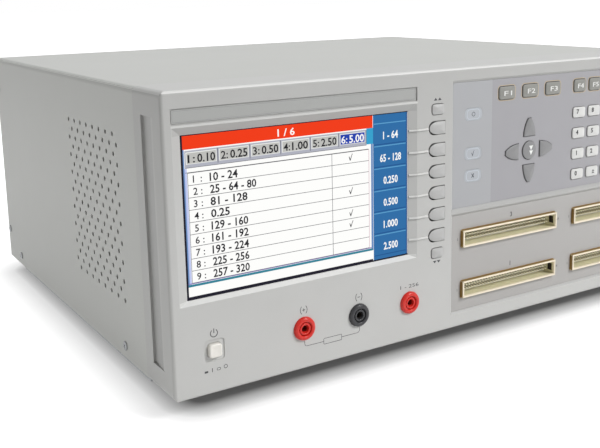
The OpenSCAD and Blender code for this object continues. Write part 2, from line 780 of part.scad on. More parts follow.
// The folded cover: top and both sides in one sheet, its folded edges rounded
module top_cover() color("#b4b5b0") place() difference() {
    front_slab(frame_d + seam, body_d) difference() {
        round_rect(cover_inset, cover_z0 - cover_r, body_w - cover_inset, body_h - cover_inset, cover_r);
        round_rect(cover_inset + sheet, cover_z0 - 2 * cover_r, body_w - cover_inset - sheet,
            body_h - cover_inset - sheet, cover_r - sheet);
        translate([0, cover_z0 - 2 * cover_r]) square([body_w, 2 * cover_r]);
    }
    vent_holes();
    side_screw_holes();
}

// A D-shaped outline with its long side on top
module d_outline(x, z, w, h) polygon([[x - w / 2, z + h / 2], [x + w / 2, z + h / 2],
    [x + w / 2 - port_taper, z - h / 2], [x - w / 2 + port_taper, z - h / 2]]);

module rear_panel() color("#b4b5b0") place() {
    front_slab(rear_in, body_d) difference() {
        round_rect(side_in, cover_z0, body_w - side_in, cover_under, cover_r - sheet);
        translate([inlet_x - inlet[0] / 2 - fit, inlet_z - inlet[1] / 2 - fit])
            square([inlet[0] + 2 * fit, inlet[1] + 2 * fit]);
        for (side = [-1, 1]) translate([inlet_x + side * inlet_screws / 2, inlet_z]) circle(d = screw_hole);
        for (i = [0, 1]) d_outline(port_xs[i], port_z, port_ws[i] - port_ears + 2, port_h + 2);
        translate([stud_x, stud_z]) circle(d = stud_d + fit);
        for (x = [-1, 1]) for (z = [-1, 1])
            translate([fan_x + x * fan_screw, fan_z + z * fan_screw]) circle(d = screw_hole);
        fan_grille();
    }
    difference() {
        for (x = [side_in, body_w - side_in - sheet])
            block([x, rear_in - rear_flange, cover_z0 + rear_flange_in],
                [x + sheet, rear_in, cover_under - rear_flange_in]);
        side_screw_holes();
    }
}

// Rings of slots with four bars between them
module fan_grille() difference() {
    for (ring = [1:grille_rings]) translate([fan_x, fan_z]) difference() {
        circle(r = grille_pitch * (ring + grille_slot / 2));
        circle(r = grille_pitch * (ring - grille_slot / 2));
    }
    for (angle = [45, 135]) translate([fan_x, fan_z]) rotate(angle)
        square([fan_side, grille_bar], center = true);
}

// Turned rubber feet, hollow round the screw
module feet() color("#2b2b2b") place() for (p = foot_places) translate([p[0], p[1], -foot_h])
    rotate_extrude() polygon([[screw_d, 0], [foot_d / 2 - foot_chamfer - foot_taper, 0],
        [foot_d / 2 - foot_taper, foot_chamfer], [foot_d / 2, foot_h + tray_z],
        [screw_hole / 2, foot_h + tray_z], [screw_hole / 2, foot_floor], [screw_d, foot_floor]]);

// A pan-head screw standing on z = 0, its shank pointing down
module screw(shank) {
    cylinder(d = head_d, h = head_h);
    translate([0, 0, -shank]) cylinder(d = screw_d, h = shank);
}

module case_screws() color("#8f9192") place() {
    for (p = side_screws) {
        translate([cover_inset, p[0], p[1]]) rotate([0, -90, 0]) screw(sheet_screw);
        translate([body_w - cover_inset, p[0], p[1]]) rotate([0, 90, 0]) screw(sheet_screw);
    }
    for (p = boss_places) translate([p[0], frame_d + sheet, p[1]]) rotate([-90, 0, 0]) screw(frame_screw);
    for (p = foot_places) translate([p[0], p[1], tray_z + sheet]) screw(sheet_screw);
    for (side = [-1, 1]) translate([inlet_x + side * inlet_screws / 2, body_d + inlet_flange_t, inlet_z])
        rotate([-90, 0, 0]) screw(rear_screw);
    for (x = [-1, 1]) for (z = [-1, 1]) translate([fan_x + x * fan_screw, body_d, fan_z + z * fan_screw])
        rotate([-90, 0, 0]) screw(rear_screw);
}

// The main board on posts, with a few of its larger parts
module main_board() color("#2d6b46") place() {
    block([main_x0, main_y0, main_z], [main_x1, main_y1, main_z + board_t]);
    for (x = [main_x0 + main_post_d, main_x1 - main_post_d])
        for (y = [main_y0 + main_post_d, main_y1 - main_post_d])
            translate([x, y, tray_z + sheet]) cylinder(d = main_post_d, h = main_z - tray_z - sheet);
    translate([chip_x, chip_y, main_z + board_t]) cube(chip);
    for (i = [0:3]) translate([can_x + can_pitch * i, can_y, main_z + board_t])
        cylinder(d = can_d, h = can_h);
}

// Relay cards standing in edge sockets on the main board
module relay_boards() color("#35593f") place() for (i = [0:card_count - 1]) {
    y = card_y + i * card_pitch;
    z = main_z + board_t;
    x0 = main_x0 + card_in[0];
    x1 = main_x1 - card_in[1];
    block([x0, y, z + card_lift], [x1, y + board_t, main_z + card_h]);
    block([x0 + edge_socket[0], y - edge_socket[1], z],
        [x1 - edge_socket[0], y + board_t + edge_socket[1], z + edge_socket[2]]);
    translate([main_x0 + relay_first[0], y - relay[1], z + relay_first[1]])
        for (column = [0:7]) for (row = [0:2])
            translate([column * relay_pitch[0], 0, row * relay_pitch[1]]) cube(relay);
}

// Laminated core with two windows, the winding round its middle limb, and a bent foot
module power_transformer() color("#7d6a4a") place()
    translate([transformer_x, transformer_y, tray_z + sheet]) {
        foot_t = transformer_foot[2];
        low = foot_t + core_window;
        high = foot_t + core[2] - core_window;
        difference() {
            translate([0, core_y, foot_t]) cube(core);
            for (x = [core_window, core[0] - 2 * core_window])
                block([x, 0, low], [x + core_window, core_y + core[1] + winding_over, high]);
        }
        difference() {
            block([core_window + 1, core_y - winding_over, low + 1],
                [core[0] - core_window - 1, core_y + core[1] + winding_over, high - 1]);
            block([2 * core_window, core_y, low], [core[0] - 2 * core_window, core_y + core[1], high]);
        }
        block([(core[0] - transformer_foot[0]) / 2, core_y + (core[1] - transformer_foot[1]) / 2, 0],
            [(core[0] + transformer_foot[0]) / 2, core_y + (core[1] + transformer_foot[1]) / 2, foot_t]);
    }

// Mains inlet: flange outside the rear panel, body inside, three blades in the socket
module mains_inlet() color("#1f2022") place() translate([inlet_x, 0, inlet_z]) {
    socket_x = inlet_socket[0] / 2;
    socket_z = inlet_socket[1] / 2;
    difference() {
        union() {
            front_slab(body_d, body_d + inlet_flange_t)
                box_outline(0, 0, inlet_flange[0], inlet_flange[1], 0, inlet_flange_r);
            block([-inlet[0] / 2, body_d - inlet_d, -inlet[1] / 2], [inlet[0] / 2, body_d, inlet[1] / 2]);
        }
        front_slab(body_d - inlet_socket[2], body_d + inlet_flange_t + cut) polygon([
            [-socket_x, -socket_z], [socket_x, -socket_z], [socket_x, socket_z - inlet_corner],
            [socket_x - inlet_corner, socket_z], [inlet_corner - socket_x, socket_z],
            [-socket_x, socket_z - inlet_corner]]);
        for (side = [-1, 1])
            rod(side * inlet_screws / 2, 0, screw_hole, body_d - cut, body_d + inlet_flange_t + cut);
    }
    for (p = blade_places) translate([p[0] - blade[0] / 2, body_d - inlet_socket[2], p[1] - blade[1] / 2])
        cube([blade[0], blade[2], blade[1]]);
}

// Everything on the fan is built about its axis, standing on the rear panel's inner face
module on_fan() place() translate([fan_x, rear_in, fan_z]) rotate([90, 0, 0]) children();

module fan_housing() color("#26272a") on_fan() {
    difference() {
        translate([0, 0, fan_d / 2]) cube([fan_side, fan_side, fan_d], center = true);
        translate([0, 0, -cut]) cylinder(d = fan_side - 2 * fan_wall, h = fan_d + 2 * cut);
        for (x = [-1, 1]) for (y = [-1, 1]) translate([x * fan_screw, y * fan_screw, -cut])
            cylinder(d = screw_hole, h = fan_d + 2 * cut);
    }
    cylinder(d = fan_hub_d, h = fan_strut);
    for (angle = [0:90:270]) rotate(angle) translate([0, -fan_strut_w / 2, 0])
        cube([fan_side / 2 - fan_wall / 2, fan_strut_w, fan_strut]);
    cylinder(d = fan_shaft_d, h = fan_d - 2 * fan_wall);
}

// The rotor turns on the housing's shaft. Its blades are flat and pitched.
module fan_rotor() color("#303236") on_fan() {
    low = fan_strut + fan_end_gap;
    difference() {
        translate([0, 0, low]) cylinder(d = fan_hub_d, h = fan_d - low - fan_end_gap);
        cylinder(d = fan_shaft_d + slide_fit, h = fan_d - 2 * fan_wall + slide_fit);
    }
    intersection() {
        for (i = [0:fan_blades - 1]) rotate(i * 360 / fan_blades) translate([0, 0, (fan_d + fan_strut) / 2])
            rotate([blade_pitch_angle, 0, 0]) translate([fan_hub_d / 2 - cut, -blade_w / 2, -blade_t / 2])
                cube([fan_side / 2, blade_w, blade_t]);
        translate([0, 0, low])
            cylinder(d = fan_side - 2 * fan_wall - 2 * fan_tip_gap, h = fan_d - low - fan_end_gap);
    }
}

// Two D-shaped interface sockets and the earth stud with its nuts
module rear_connectors() color("#c4c6c8") place() {
    for (i = [0, 1]) {
        front_slab(body_d, body_d + port_flange[0])
            box_outline(port_xs[i], port_z, port_ws[i], port_flange[1], 0, port_flange[2]);
        front_slab(rear_in - port_in, body_d + port_out)
            d_outline(port_xs[i], port_z, port_ws[i] - port_ears, port_h);
        for (side = [-1, 1])
            translate([port_xs[i] + side * (port_ws[i] / 2 - port_nut_in), body_d + port_out, port_z])
                rotate([90, 0, 0]) cylinder(d = port_nut_d, h = port_out - port_flange[0], $fn = 6);
    }
    rod(stud_x, stud_z, stud_d, rear_in - 2 * stud_nut, body_d + stud_out);
    for (y = [rear_in, body_d + stud_nut]) translate([stud_x, y, stud_z]) rotate([90, 0, 0])
        cylinder(d = stud_d * 2, h = stud_nut, $fn = 6);
}

front_bezel();
lcd_module();
keypad_panel();
connector_panel();
indicator_lenses();
header_connectors();
header_pins();
red_jacks();
black_jack();
jack_contacts();
power_button();
power_switch();
keypad_board();
chassis_tray();
top_cover();
rear_panel();
feet();
case_screws();
main_board();
relay_boards();
power_transformer();
mains_inlet();
fan_housing();
fan_rotor();
rear_connectors();
for (i = [0:5]) side_key(i);
page_key(1);  // page_key_top
page_key(0);  // page_key_bottom
for (i = [0:5]) function_key(i);
arrow_key(0);  // arrow_key_up
arrow_key(90);  // arrow_key_right
arrow_key(180);  // arrow_key_down
arrow_key(270);  // arrow_key_left
round_key();
for (i = [0:11]) number_key(i);
back_key();
enter_key();
start_key();
stop_key();
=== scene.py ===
from math import cos, radians, sin

import bpy
import numpy as np
from mathutils import Euler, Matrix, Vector


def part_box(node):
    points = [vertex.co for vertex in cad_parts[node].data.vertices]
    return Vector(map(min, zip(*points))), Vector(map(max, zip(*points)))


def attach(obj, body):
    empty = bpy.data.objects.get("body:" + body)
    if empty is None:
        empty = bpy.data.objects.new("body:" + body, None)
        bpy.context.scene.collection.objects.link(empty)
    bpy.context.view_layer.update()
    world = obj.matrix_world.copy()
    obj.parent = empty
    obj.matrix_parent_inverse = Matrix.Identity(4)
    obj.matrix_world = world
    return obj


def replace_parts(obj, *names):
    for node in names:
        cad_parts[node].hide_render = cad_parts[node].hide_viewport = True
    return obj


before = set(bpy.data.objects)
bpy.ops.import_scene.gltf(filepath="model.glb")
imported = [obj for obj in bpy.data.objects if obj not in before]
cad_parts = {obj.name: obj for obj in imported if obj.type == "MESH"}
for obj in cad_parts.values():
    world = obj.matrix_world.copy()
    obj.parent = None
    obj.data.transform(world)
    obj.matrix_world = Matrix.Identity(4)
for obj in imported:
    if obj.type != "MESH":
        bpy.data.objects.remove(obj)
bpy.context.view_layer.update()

# The photographer's place: a little above the case, left of its front, with a normal lens.
# The sensor is moved a tenth of its width down and a little sideways, as a trimmed picture's is.
scene = bpy.context.scene
scene.view_settings.view_transform = "Standard"
eye = bpy.data.cameras.new("photo_camera")
eye.sensor_width = 36
eye.lens = 54.518
eye.shift_x = -0.0232
eye.shift_y = -0.099
camera = bpy.data.objects.new("photo_camera", eye)
camera.location = (-0.40089, -0.63427, 0.24014)
camera.rotation_euler = Euler([radians(a) for a in (79.1385, 1.0804, -32.329)])
scene.collection.objects.link(camera)
scene.camera = camera


# The front frame: one moulding in warm light grey plastic, with a fine sparked texture from its tool.
# It carries the display, the keys and the connectors, and the sheet metal case is screwed to its back.
MM = 0.001
BODY_W, BODY_H = 430.0, 177.0
SCREEN_SUNK = 2.8
corner = np.array([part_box("front_bezel")[0].x,
                   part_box("lcd_module")[0].y - SCREEN_SUNK * MM,
                   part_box("front_bezel")[0].z])


def at(x, y, z):
    """Places in the row frame, from millimetres right of, behind and above the frame's lower left
    front corner. Numbers or arrays of one shape."""
    return corner + MM * np.stack(np.broadcast_arrays(x, y, z), -1)


def srgb(r, g, b):
    """A colour as it looks on a screen, 0 to 255, as the linear light that a shader works in."""
    return [c / 12.92 / 255 if c <= 10.31 else ((c / 255 + 0.055) / 1.055) ** 2.4 for c in (r, g, b)]


def shade(colour, factor):
    """The colour that many times as bright, but no brighter than white."""
    return [min(1.0, c * factor) for c in colour]


class Signal:
    """A shader socket that an expression can use: each operator adds one Math node."""

    def __init__(self, finish, socket):
        self.finish, self.socket = finish, socket

    def maths(self, operation, *values):
        return self.finish.add("ShaderNodeMath", {"operation": operation}, dict(enumerate(values)))

    def __add__(self, other):
        return self.maths("ADD", self, other)

    def __sub__(self, other):
        return self.maths("SUBTRACT", self, other)

    def __rsub__(self, other):
        return self.maths("SUBTRACT", other, self)

    def __mul__(self, other):
        return self.maths("MULTIPLY", self, other)

    def __mod__(self, other):
        return self.maths("FLOORED_MODULO", self, other)

    def __pow__(self, other):
        return self.maths("POWER", self, other)

    def __gt__(self, other):
        return self.maths("GREATER_THAN", self, other)

    def __lt__(self, other):
        return self.maths("LESS_THAN", self, other)

    def __abs__(self):
        return self.maths("ABSOLUTE", self)

    __radd__ = __add__
    __rmul__ = __mul__


class Finish:
    """A material with one Principled shader. Its constants are set on the shader's own sockets."""

    def __init__(self, name, colour, roughness, **constants):
        self.material = bpy.data.materials.new(name)
        self.material.use_nodes = True
        self.tree = self.material.node_tree
        self.shader = self.tree.nodes["Principled BSDF"]
        self.feed("Base Color", (*colour, 1))
        self.feed("Roughness", roughness)
        for socket, value in constants.items():
            self.feed(socket.replace("_", " "), value)

    def feed(self, socket, value, node=None):
        """Sets a socket of the shader, or of another node, to a number, or links a signal to it."""
        target = (node or self.shader).inputs[socket]
        if isinstance(value, Signal):
            self.tree.links.new(value.socket, target)
        else:
            target.default_value = value

    def add(self, kind, settings=None, sockets=None, out=0):
        """Adds a node of that kind, sets it up, feeds its sockets and gives one of its outputs."""
        node = self.tree.nodes.new(kind)
        for name, value in (settings or {}).items():
            setattr(node, name, value)
        for name, value in (sockets or {}).items():
            self.feed(name, value, node)
        return Signal(self, node.outputs[out])

    def place(self):
        """The point's place in the row frame, in metres."""
        return self.add("ShaderNodeTexCoord", out="Object")

    def grain(self, size, detail=2.0):
        """Noise with spots of about that size in metres."""
        return self.add("ShaderNodeTexNoise", None,
                        {"Vector": self.place(), "Scale": 1 / size, "Detail": detail})

    def blend(self, factor, low, high):
        """A colour that goes from low to high with the factor. Each is a colour or a signal."""
        ends = [c if isinstance(c, Signal) else (*c, 1) for c in (low, high)]
        return self.add("ShaderNodeMix", {"data_type": "RGBA"}, {0: factor, 6: ends[0], 7: ends[1]}, 2)

    def mottle(self, colour, size, share, detail=3.0):
        """The colour in clouds of that size, lighter and darker by that share."""
        return self.blend(self.grain(size, detail), shade(colour, 1 - share), shade(colour, 1 + share))

    def axis(self, k):
        """The point's place along one axis of the row frame, in metres."""
        return self.add("ShaderNodeSeparateXYZ", None, {0: self.place()}, k)

    def within(self, low, high):
        """1 in the box between two places of the front frame, given in mm, and 0 outside it."""
        middle, half = (at(*low) + at(*high)) / 2, (at(*high) - at(*low)) / 2
        inside = [abs(self.axis(k) - float(middle[k])) < float(half[k]) for k in range(3)]
        return inside[0] * inside[1] * inside[2]

    def shaded_by_height(self, colour, size, share, height_shading):
        """The clouded colour, going evenly from one brightness at the frame's bottom to one at its top:
        painted light and shade by height.
        """
        height = (self.axis(2) - float(corner[2])) * (1 / (BODY_H * MM))
        low, high = (self.mottle(shade(colour, factor), size, share) for factor in height_shading)
        return self.blend(height, low, high)

    def relief(self, height, depth, edge=0.0):
        """Bumps of that depth in metres. An edge radius softens the mesh's own edges as well."""
        sockets = {"Strength": 0.6, "Distance": depth, "Height": height}
        if edge:
            sockets["Normal"] = self.add("ShaderNodeBevel", {"samples": 4}, {"Radius": edge})
        self.feed("Normal", self.add("ShaderNodeBump", None, sockets))


def moulded(name, colour, roughness, pits=0.35, depth=0.012, share=0.03, edge=0.0, shades=(), height_shading=None):
    """Moulded plastic: a fine pitted skin, faint clouds of lighter and darker colour. Sizes in mm.
    When given, the last argument is how bright it is at the frame's bottom and top: painted light and
    shade by height. Each shade is a box of painted light and shade, from low to high, in which the
    colour is that many times as bright."""
    plastic = Finish(name, colour, roughness)
    cloud = 25 * MM
    tone = plastic.shaded_by_height(colour, cloud, share, height_shading) if height_shading else plastic.mottle(colour, cloud, share)
    for low, high, factor in shades:
        tone = plastic.blend(plastic.within(low, high), tone, shade(colour, factor))
    plastic.feed("Base Color", tone)
    fine = plastic.grain(pits * MM, 1.0)
    plastic.feed("Roughness", roughness - 0.06 + 0.12 * fine)
    plastic.relief(fine, depth * MM, edge=edge * MM)
    return plastic.material


def dress(material, *nodes):
    """Gives CAD nodes that keep their own mesh a finish."""
    for node in nodes:
        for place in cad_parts[node].material_slots:
            place.material = material


# Tones painted by place, because the photograph's own light has them and this studio's hasn't.
SIDE_KEY_Z, SIDE_KEY_PITCH = 68.0, 14.3
RIB_HALF = 0.56
frame_tones = {"finger grooves": ((0.25, 11, 14.5), (429.75, 29.2, 162.5), 0.78),
               "display's top slope": ((5.5, 0.12, 152.1), (173.8, 2.9, 157), 0.78),
               "display's bottom slope": ((5.5, 0.12, 55.3), (173.8, 2.9, 58.1), 1.26),
               "rail between the panels": ((202.6, -1, 78), (421.6, 1.3, 81.4), 0.88),
               "rail's upper edge": ((202.6, -1, 81.4), (421.6, 1.3, 83.1), 0.74),
               "lower panel's bottom edge": ((202.6, -1, 9.6), (421.6, 1.3, 11.1), 0.82),
               "walls of the key holes": ((181, 0.12, 40), (199.5, 3.6, 168), 0.2),
               "ridge over the display": ((5.5, -1, 156.7), (173.8, 0.6, 157.9), 1.18),
               "left bend": ((-0.5, 2, 174.8), (2.3, 40, 176.6), 1.2),
               "right bend": ((427.7, 2, 174.8), (430.5, 40, 176.6), 1.2),
               "top": ((-0.5, 1.5, 176.6), (430.5, 40, 178), 1.02),
               "top front edge": ((-0.5, -1, 175.7), (430.5, 1.5, 178), 1.35)}
rib_tones = [((167.9, -1.1, z - RIB_HALF), (182.3, 2.3, z + RIB_HALF), 1.4)
             for z in SIDE_KEY_Z + SIDE_KEY_PITCH * np.arange(6)]
# The frame is painted brighter at its bottom than at its top, as light and shade by height.
frame_grey = moulded("frame_grey_plastic", srgb(191, 191, 189), 0.48, edge=0.35,
                     shades=[*frame_tones.values(), *rib_tones], height_shading=(1.1, 0.87))
dress(frame_grey, "front_bezel")


# The name strip: a thin printed plate, glued in the shallow recess above the display.
# It is a shade darker than the frame and left without a name, with one fine line round its edge.
STRIP = (6.0, 173.0, 159.0, 166.6)
STRIP_FLOOR = 0.8
STRIP_T = 0.35


def outline(corners, soft, count=96):
    """A closed outline through corners, which are (x, z) in millimetres and counted anticlockwise as
    seen from the front. Its points are evenly spaced, and each is the mean of the outline within soft
    of it, which rounds the corners. The second array has the outward direction at each point."""
    fine = 16
    closed = np.vstack([corners, corners[:1]]).astype(float)
    along = np.concatenate([[0], np.cumsum(np.hypot(*np.diff(closed, axis=0).T))])
    spots = np.linspace(0, along[-1], fine * count, endpoint=False)
    line = np.stack([np.interp(spots, along, column) for column in closed.T], -1)
    reach = int(soft / along[-1] * len(spots))
    wrapped = np.vstack([line[-reach:], line, line[:reach]])
    window = np.full(2 * reach + 1, 1 / (2 * reach + 1))
    line = np.stack([np.convolve(column, window, "valid") for column in wrapped.T], -1)[::fine]
    ahead = np.roll(line, -1, 0) - np.roll(line, 1, 0)
    return line, np.stack([ahead[:, 1], -ahead[:, 0]], -1) / np.linalg.norm(ahead, axis=1)[:, None]


def box(x, z, w, h):
    """The four corners of an upright box in the front plane, about its middle."""
    return np.array([[x - w / 2, z - h / 2], [x + w / 2, z - h / 2],
                     [x + w / 2, z + h / 2], [x - w / 2, z + h / 2]])


def carried(form, profile):
    """A profile carried round an outline. Each row of the profile is the outline moved in by its first
    number, at the depth of its second, and drawn together about its middle to the share of its third."""
    line, out = form
    inset, depth, share = np.array([(*row, 1.0)[:3] for row in profile]).T
    middle = (line.max(0) + line.min(0)) / 2
    rings = middle + (line - np.multiply.outer(inset, out) - middle) * share[:, None, None]
    return at(rings[..., 0], depth[:, None], rings[..., 1])


def skin(rings, torus=False, kind=0):
    """A closed part from rings of points, rows x columns: each cell is a face, and the ends are closed
    by a face, or on a torus joined to each other. Its faces point out, which the sign of the volume
    tells. Kind is the number of its finish."""
    rows, columns = rings.shape[:2]
    index = np.arange(rows * columns).reshape(rows, columns)
    index = np.hstack([index, index[:, :1]])
    if torus:
        index = np.vstack([index, index[:1]])
    cells = np.stack([index[:-1, :-1], index[:-1, 1:], index[1:, 1:], index[1:, :-1]], -1).reshape(-1, 4)
    ends = [] if torus else [index[0, :columns][::-1], index[-1, :columns]]
    fans = [np.stack([np.full(columns - 2, end[0]), end[1:-1], end[2:]], -1) for end in ends]
    points = rings.reshape(-1, 3)
    a, b, c = (points[which] for which in np.vstack([cells[:, :3], cells[:, [0, 2, 3]], *fans]).T)
    turn = 1 if np.einsum("ij,ij->", a - points[0], np.cross(b - points[0], c - points[0])) > 0 else -1
    return points, [face[::turn].tolist() for face in (*cells, *ends)], kind


def piece(name, body, slot, parts, *finishes, smooth=35):
    """One mesh piece that rides on a body, joined from parts. Edges sharper than smooth stay sharp."""
    points, faces, kinds = [], [], []
    start = 0
    for part_points, part_faces, kind in parts:
        points.append(part_points)
        faces += [[start + vertex for vertex in face] for face in part_faces]
        kinds += [kind] * len(part_faces)
        start += len(part_points)
    mesh = bpy.data.meshes.new(name)
    mesh.from_pydata(np.vstack(points).tolist(), [], faces)
    mesh.polygons.foreach_set("material_index", kinds)
    mesh.shade_smooth()
    mesh.set_sharp_from_angle(angle=radians(smooth))
    for finish in finishes:
        mesh.materials.append(finish)
    thing = bpy.data.objects.new(name, mesh)
    scene.collection.objects.link(thing)
    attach(thing, body)
    return thing


def border(form, y, low, high, width, kind=0):
    """A flat band of that width just outside an outline, from depth y forward to low and high."""
    return skin(carried(form, [(-low, y), (-low, high), (-low - width, high), (-low - width, y)]), True, kind)


def plate(form, back, front, bevel):
    """A flat plate with a bevel of that width round its front."""
    return skin(carried(form, [(0, back), (0, front + bevel), (bevel, front)]))


def printed(name, colour):
    """Screen-printed ink: matt, with a slightly uneven edge to its gloss."""
    ink = Finish(name, colour, 0.45)
    ink.feed("Base Color", ink.mottle(colour, 2 * MM, 0.06))
    ink.feed("Roughness", 0.37 + 0.16 * ink.grain(0.4 * MM))
    return ink.material


strip_film = moulded("strip_film", srgb(164, 165, 163), 0.36, pits=0.2, depth=0.004, share=0.015)
line_ink = printed("strip_line_ink", srgb(132, 132, 135))
strip_x = (STRIP[0] + STRIP[1]) / 2
strip_z = (STRIP[2] + STRIP[3]) / 2
strip_w, strip_h = STRIP[1] - STRIP[0], STRIP[3] - STRIP[2]
strip_front = STRIP_FLOOR - STRIP_T
strip_form = outline(box(strip_x, strip_z, strip_w, strip_h), 0.8, 240)
strip_line = outline(box(strip_x, strip_z, strip_w - 1.6, strip_h - 1.6), 0.5, 240)
piece("name_strip", "case", "panel_film",
      [plate(strip_form, STRIP_FLOOR - 0.02, strip_front, 0.1),
       border(strip_line, strip_front + 0.02, 0, strip_front - 0.02, 0.15, 1)],
      strip_film, line_ink)


# The display: a lit colour screen behind a thin dark mask, seated from behind in the frame's opening.
# It shows a settings page: an orange title bar, six tabs, a ruled list with ticks and a blue menu.
SCREEN = (11.4, 167.8, 58.0, 152.2)
PICTURE_Y = SCREEN_SUNK - 0.12
MENU_X, MENU_PITCH, MENU_FIRST = 140.9, 14.3, 138.5
ROW_PITCH, ROW_TOP, ROWS = 7.0, 130.8, 9
TAB_PITCH, TAB_FIRST, TAB_W = 20.3, 14.6, 18.8
page = {"white": (254, 254, 252), "mask": (26, 24, 38), "orange": (241, 56, 6), "menu": (42, 108, 166),
        "menu_light": (92, 160, 205), "menu_dark": (28, 84, 142), "cyan": (50, 160, 205),
        "tab": (190, 190, 186), "tab_edge": (236, 238, 234), "dark": (70, 70, 74), "tab_on": (32, 62, 172),
        "steel": (105, 140, 190), "lavender": (190, 200, 240), "band": (176, 178, 190),
        "rule": (104, 104, 108), "teal": (50, 130, 150), "violet": (140, 126, 190), "pink": (214, 180, 190)}
patches = [(*SCREEN, "mask"), (12.4, 167.8, 59.9, 151.9, "white"), (140.4, 167.8, 58.9, 151.9, "white"),
           (12.4, 13.6, 65.6, 144.0, "steel"), (13.6, 14.9, 67.0, 133.4, "lavender"),
           (12.4, 140.6, 144.0, 151.9, "orange"), (13.9, 135.9, 133.7, 143.3, "band"),
           (13.9, 135.9, 133.5, 133.8, "rule"), (135.9, 140.9, 134.0, 144.0, "cyan"),
           (13.9, 137.4, 130.9, 131.2, "dark"), (137.4, 137.8, 67.2, 131.0, "pink"),
           (139.2, 140.7, 65.6, 134.0, "steel"), (13, 139.4, 67.2, 67.8, "violet"),
           (13, 140, 65.6, 67.0, "teal"), (MENU_X, 167.6, 58.9, 151.9, "menu"),
           (166.6, 167.6, 58.9, 151.9, "menu_dark")]
for tab in range(6):
    left = TAB_FIRST + tab * TAB_PITCH
    patches += [(left, left + TAB_W, 135.6, 142.4, "tab_edge"),
                (left + 0.5, left + TAB_W - 0.4, 135.9, 141.9, "tab_on" if tab == 5 else "tab"),
                (left + TAB_W + 0.5, left + TAB_W + 0.9, 134.6, 143.0, "rule")]
for row in range(ROWS + 1):
    line_z = ROW_TOP - row * ROW_PITCH
    patches.append((15.2, 137.4, line_z - 0.17, line_z + 0.17, "rule"))
patches += [(110, 110.35, 67.8, ROW_TOP, "rule"), (15.1, 15.4, 67.8, ROW_TOP, "rule")]
for cell in range(6):
    edge_z = MENU_FIRST - (cell - 0.5) * MENU_PITCH
    patches += [(MENU_X + 0.6, 166.4, edge_z + 0.15, edge_z + 0.75, "menu_light"),
                (MENU_X + 0.6, 166.4, edge_z - MENU_PITCH + 1.3, edge_z - MENU_PITCH + 1.9, "menu_dark")]
patches += [(SCREEN[0], 12.85, *SCREEN[2:], "mask"), (*SCREEN[:2], 151.6, SCREEN[3], "mask")]


def picture(patches, y):
    """Flat cells between all the patches' edges, each with the colour of the last patch on it."""
    xs, zs = (np.unique(np.round([edge for patch in patches for edge in patch[k:k + 2]], 3)) for k in (0, 2))
    x_mid, z_mid = (xs[1:] + xs[:-1]) / 2, (zs[1:] + zs[:-1]) / 2
    tint = np.zeros((len(z_mid), len(x_mid), 4))
    for x0, x1, z0, z1, name in patches:
        tint[np.ix_((z_mid > z0) & (z_mid < z1), (x_mid > x0) & (x_mid < x1))] = (*srgb(*page[name]), 1)
    index = np.arange(len(xs) * len(zs)).reshape(len(zs), len(xs))
    cells = np.stack([index[:-1, :-1], index[:-1, 1:], index[1:, 1:], index[1:, :-1]], -1).reshape(-1, 4)
    return (at(xs[None, :], y, zs[:, None]).reshape(-1, 3), cells.tolist(), 0), tint.reshape(-1, 4)


def lit(name, colour=None):
    """A lit screen: its light is one colour, or the mesh's own tint, in fine rows of picture dots."""
    light = Finish(name, (0.004, 0.004, 0.005), 0.32, Specular_IOR_Level=0.04, Emission_Strength=1.0)
    tint = light.add("ShaderNodeAttribute", {"attribute_name": "tint"}) if colour is None else (*colour, 1)
    if colour is None:
        dots = 0.93 + 0.07 * (light.axis(0) % (0.2 * MM) > 0.03 * MM)
        tint = light.add("ShaderNodeVectorMath", {"operation": "SCALE"}, {0: tint, "Scale": dots})
    light.feed("Emission Color", tint)
    return light.material


page_part, page_tint = picture(patches, PICTURE_Y)
screen_page = piece("display_page", "case", "display", [page_part], lit("display_light"))
tint_layer = screen_page.data.color_attributes.new("tint", "FLOAT_COLOR", "CORNER")
tint_layer.data.foreach_set("color", np.repeat(page_tint, 4, axis=0).ravel())
film = screen_page.modifiers.new("film_thickness", "SOLIDIFY")
film.thickness = 0.1 * MM
film.offset = -1


# The share of the font's size that a figure is tall.
DIGIT_TALL = 0.73


def figures(text, x, y, z, height, width=None, kind=0, deep=0.08, lean="CENTER", bold=0.0):
    """A line of plain figures standing in the front plane about x and z, sunk half into depth y. The
    font's own shapes are scaled to that height, and across to that width, in millimetres. Bold
    swells their strokes by that share of the font's size."""
    curve = bpy.data.curves.new("figures", "FONT")
    curve.body = text
    curve.size = 1
    curve.resolution_u = 2
    curve.extrude = 0.5
    curve.offset = bold
    holder = bpy.data.objects.new("figures", curve)
    shapes = bpy.data.meshes.new_from_object(holder)
    points = np.zeros(len(shapes.vertices) * 3)
    shapes.vertices.foreach_get("co", points)
    points = points.reshape(-1, 3)
    low, high = points.min(0), points.max(0)
    tall = height / DIGIT_TALL
    wide = width / (high[0] - low[0]) if width else tall
    shift = {"CENTER": (low[0] + high[0]) / 2, "LEFT": low[0]}[lean]
    faces = [list(face.vertices) for face in shapes.polygons]
    bpy.data.objects.remove(holder)
    bpy.data.curves.remove(curve)
    bpy.data.meshes.remove(shapes)
    return (at(x + (points[:, 0] - shift) * wide, y - points[:, 2] * deep,
               z + points[:, 1] * tall - height / 2), faces, kind)


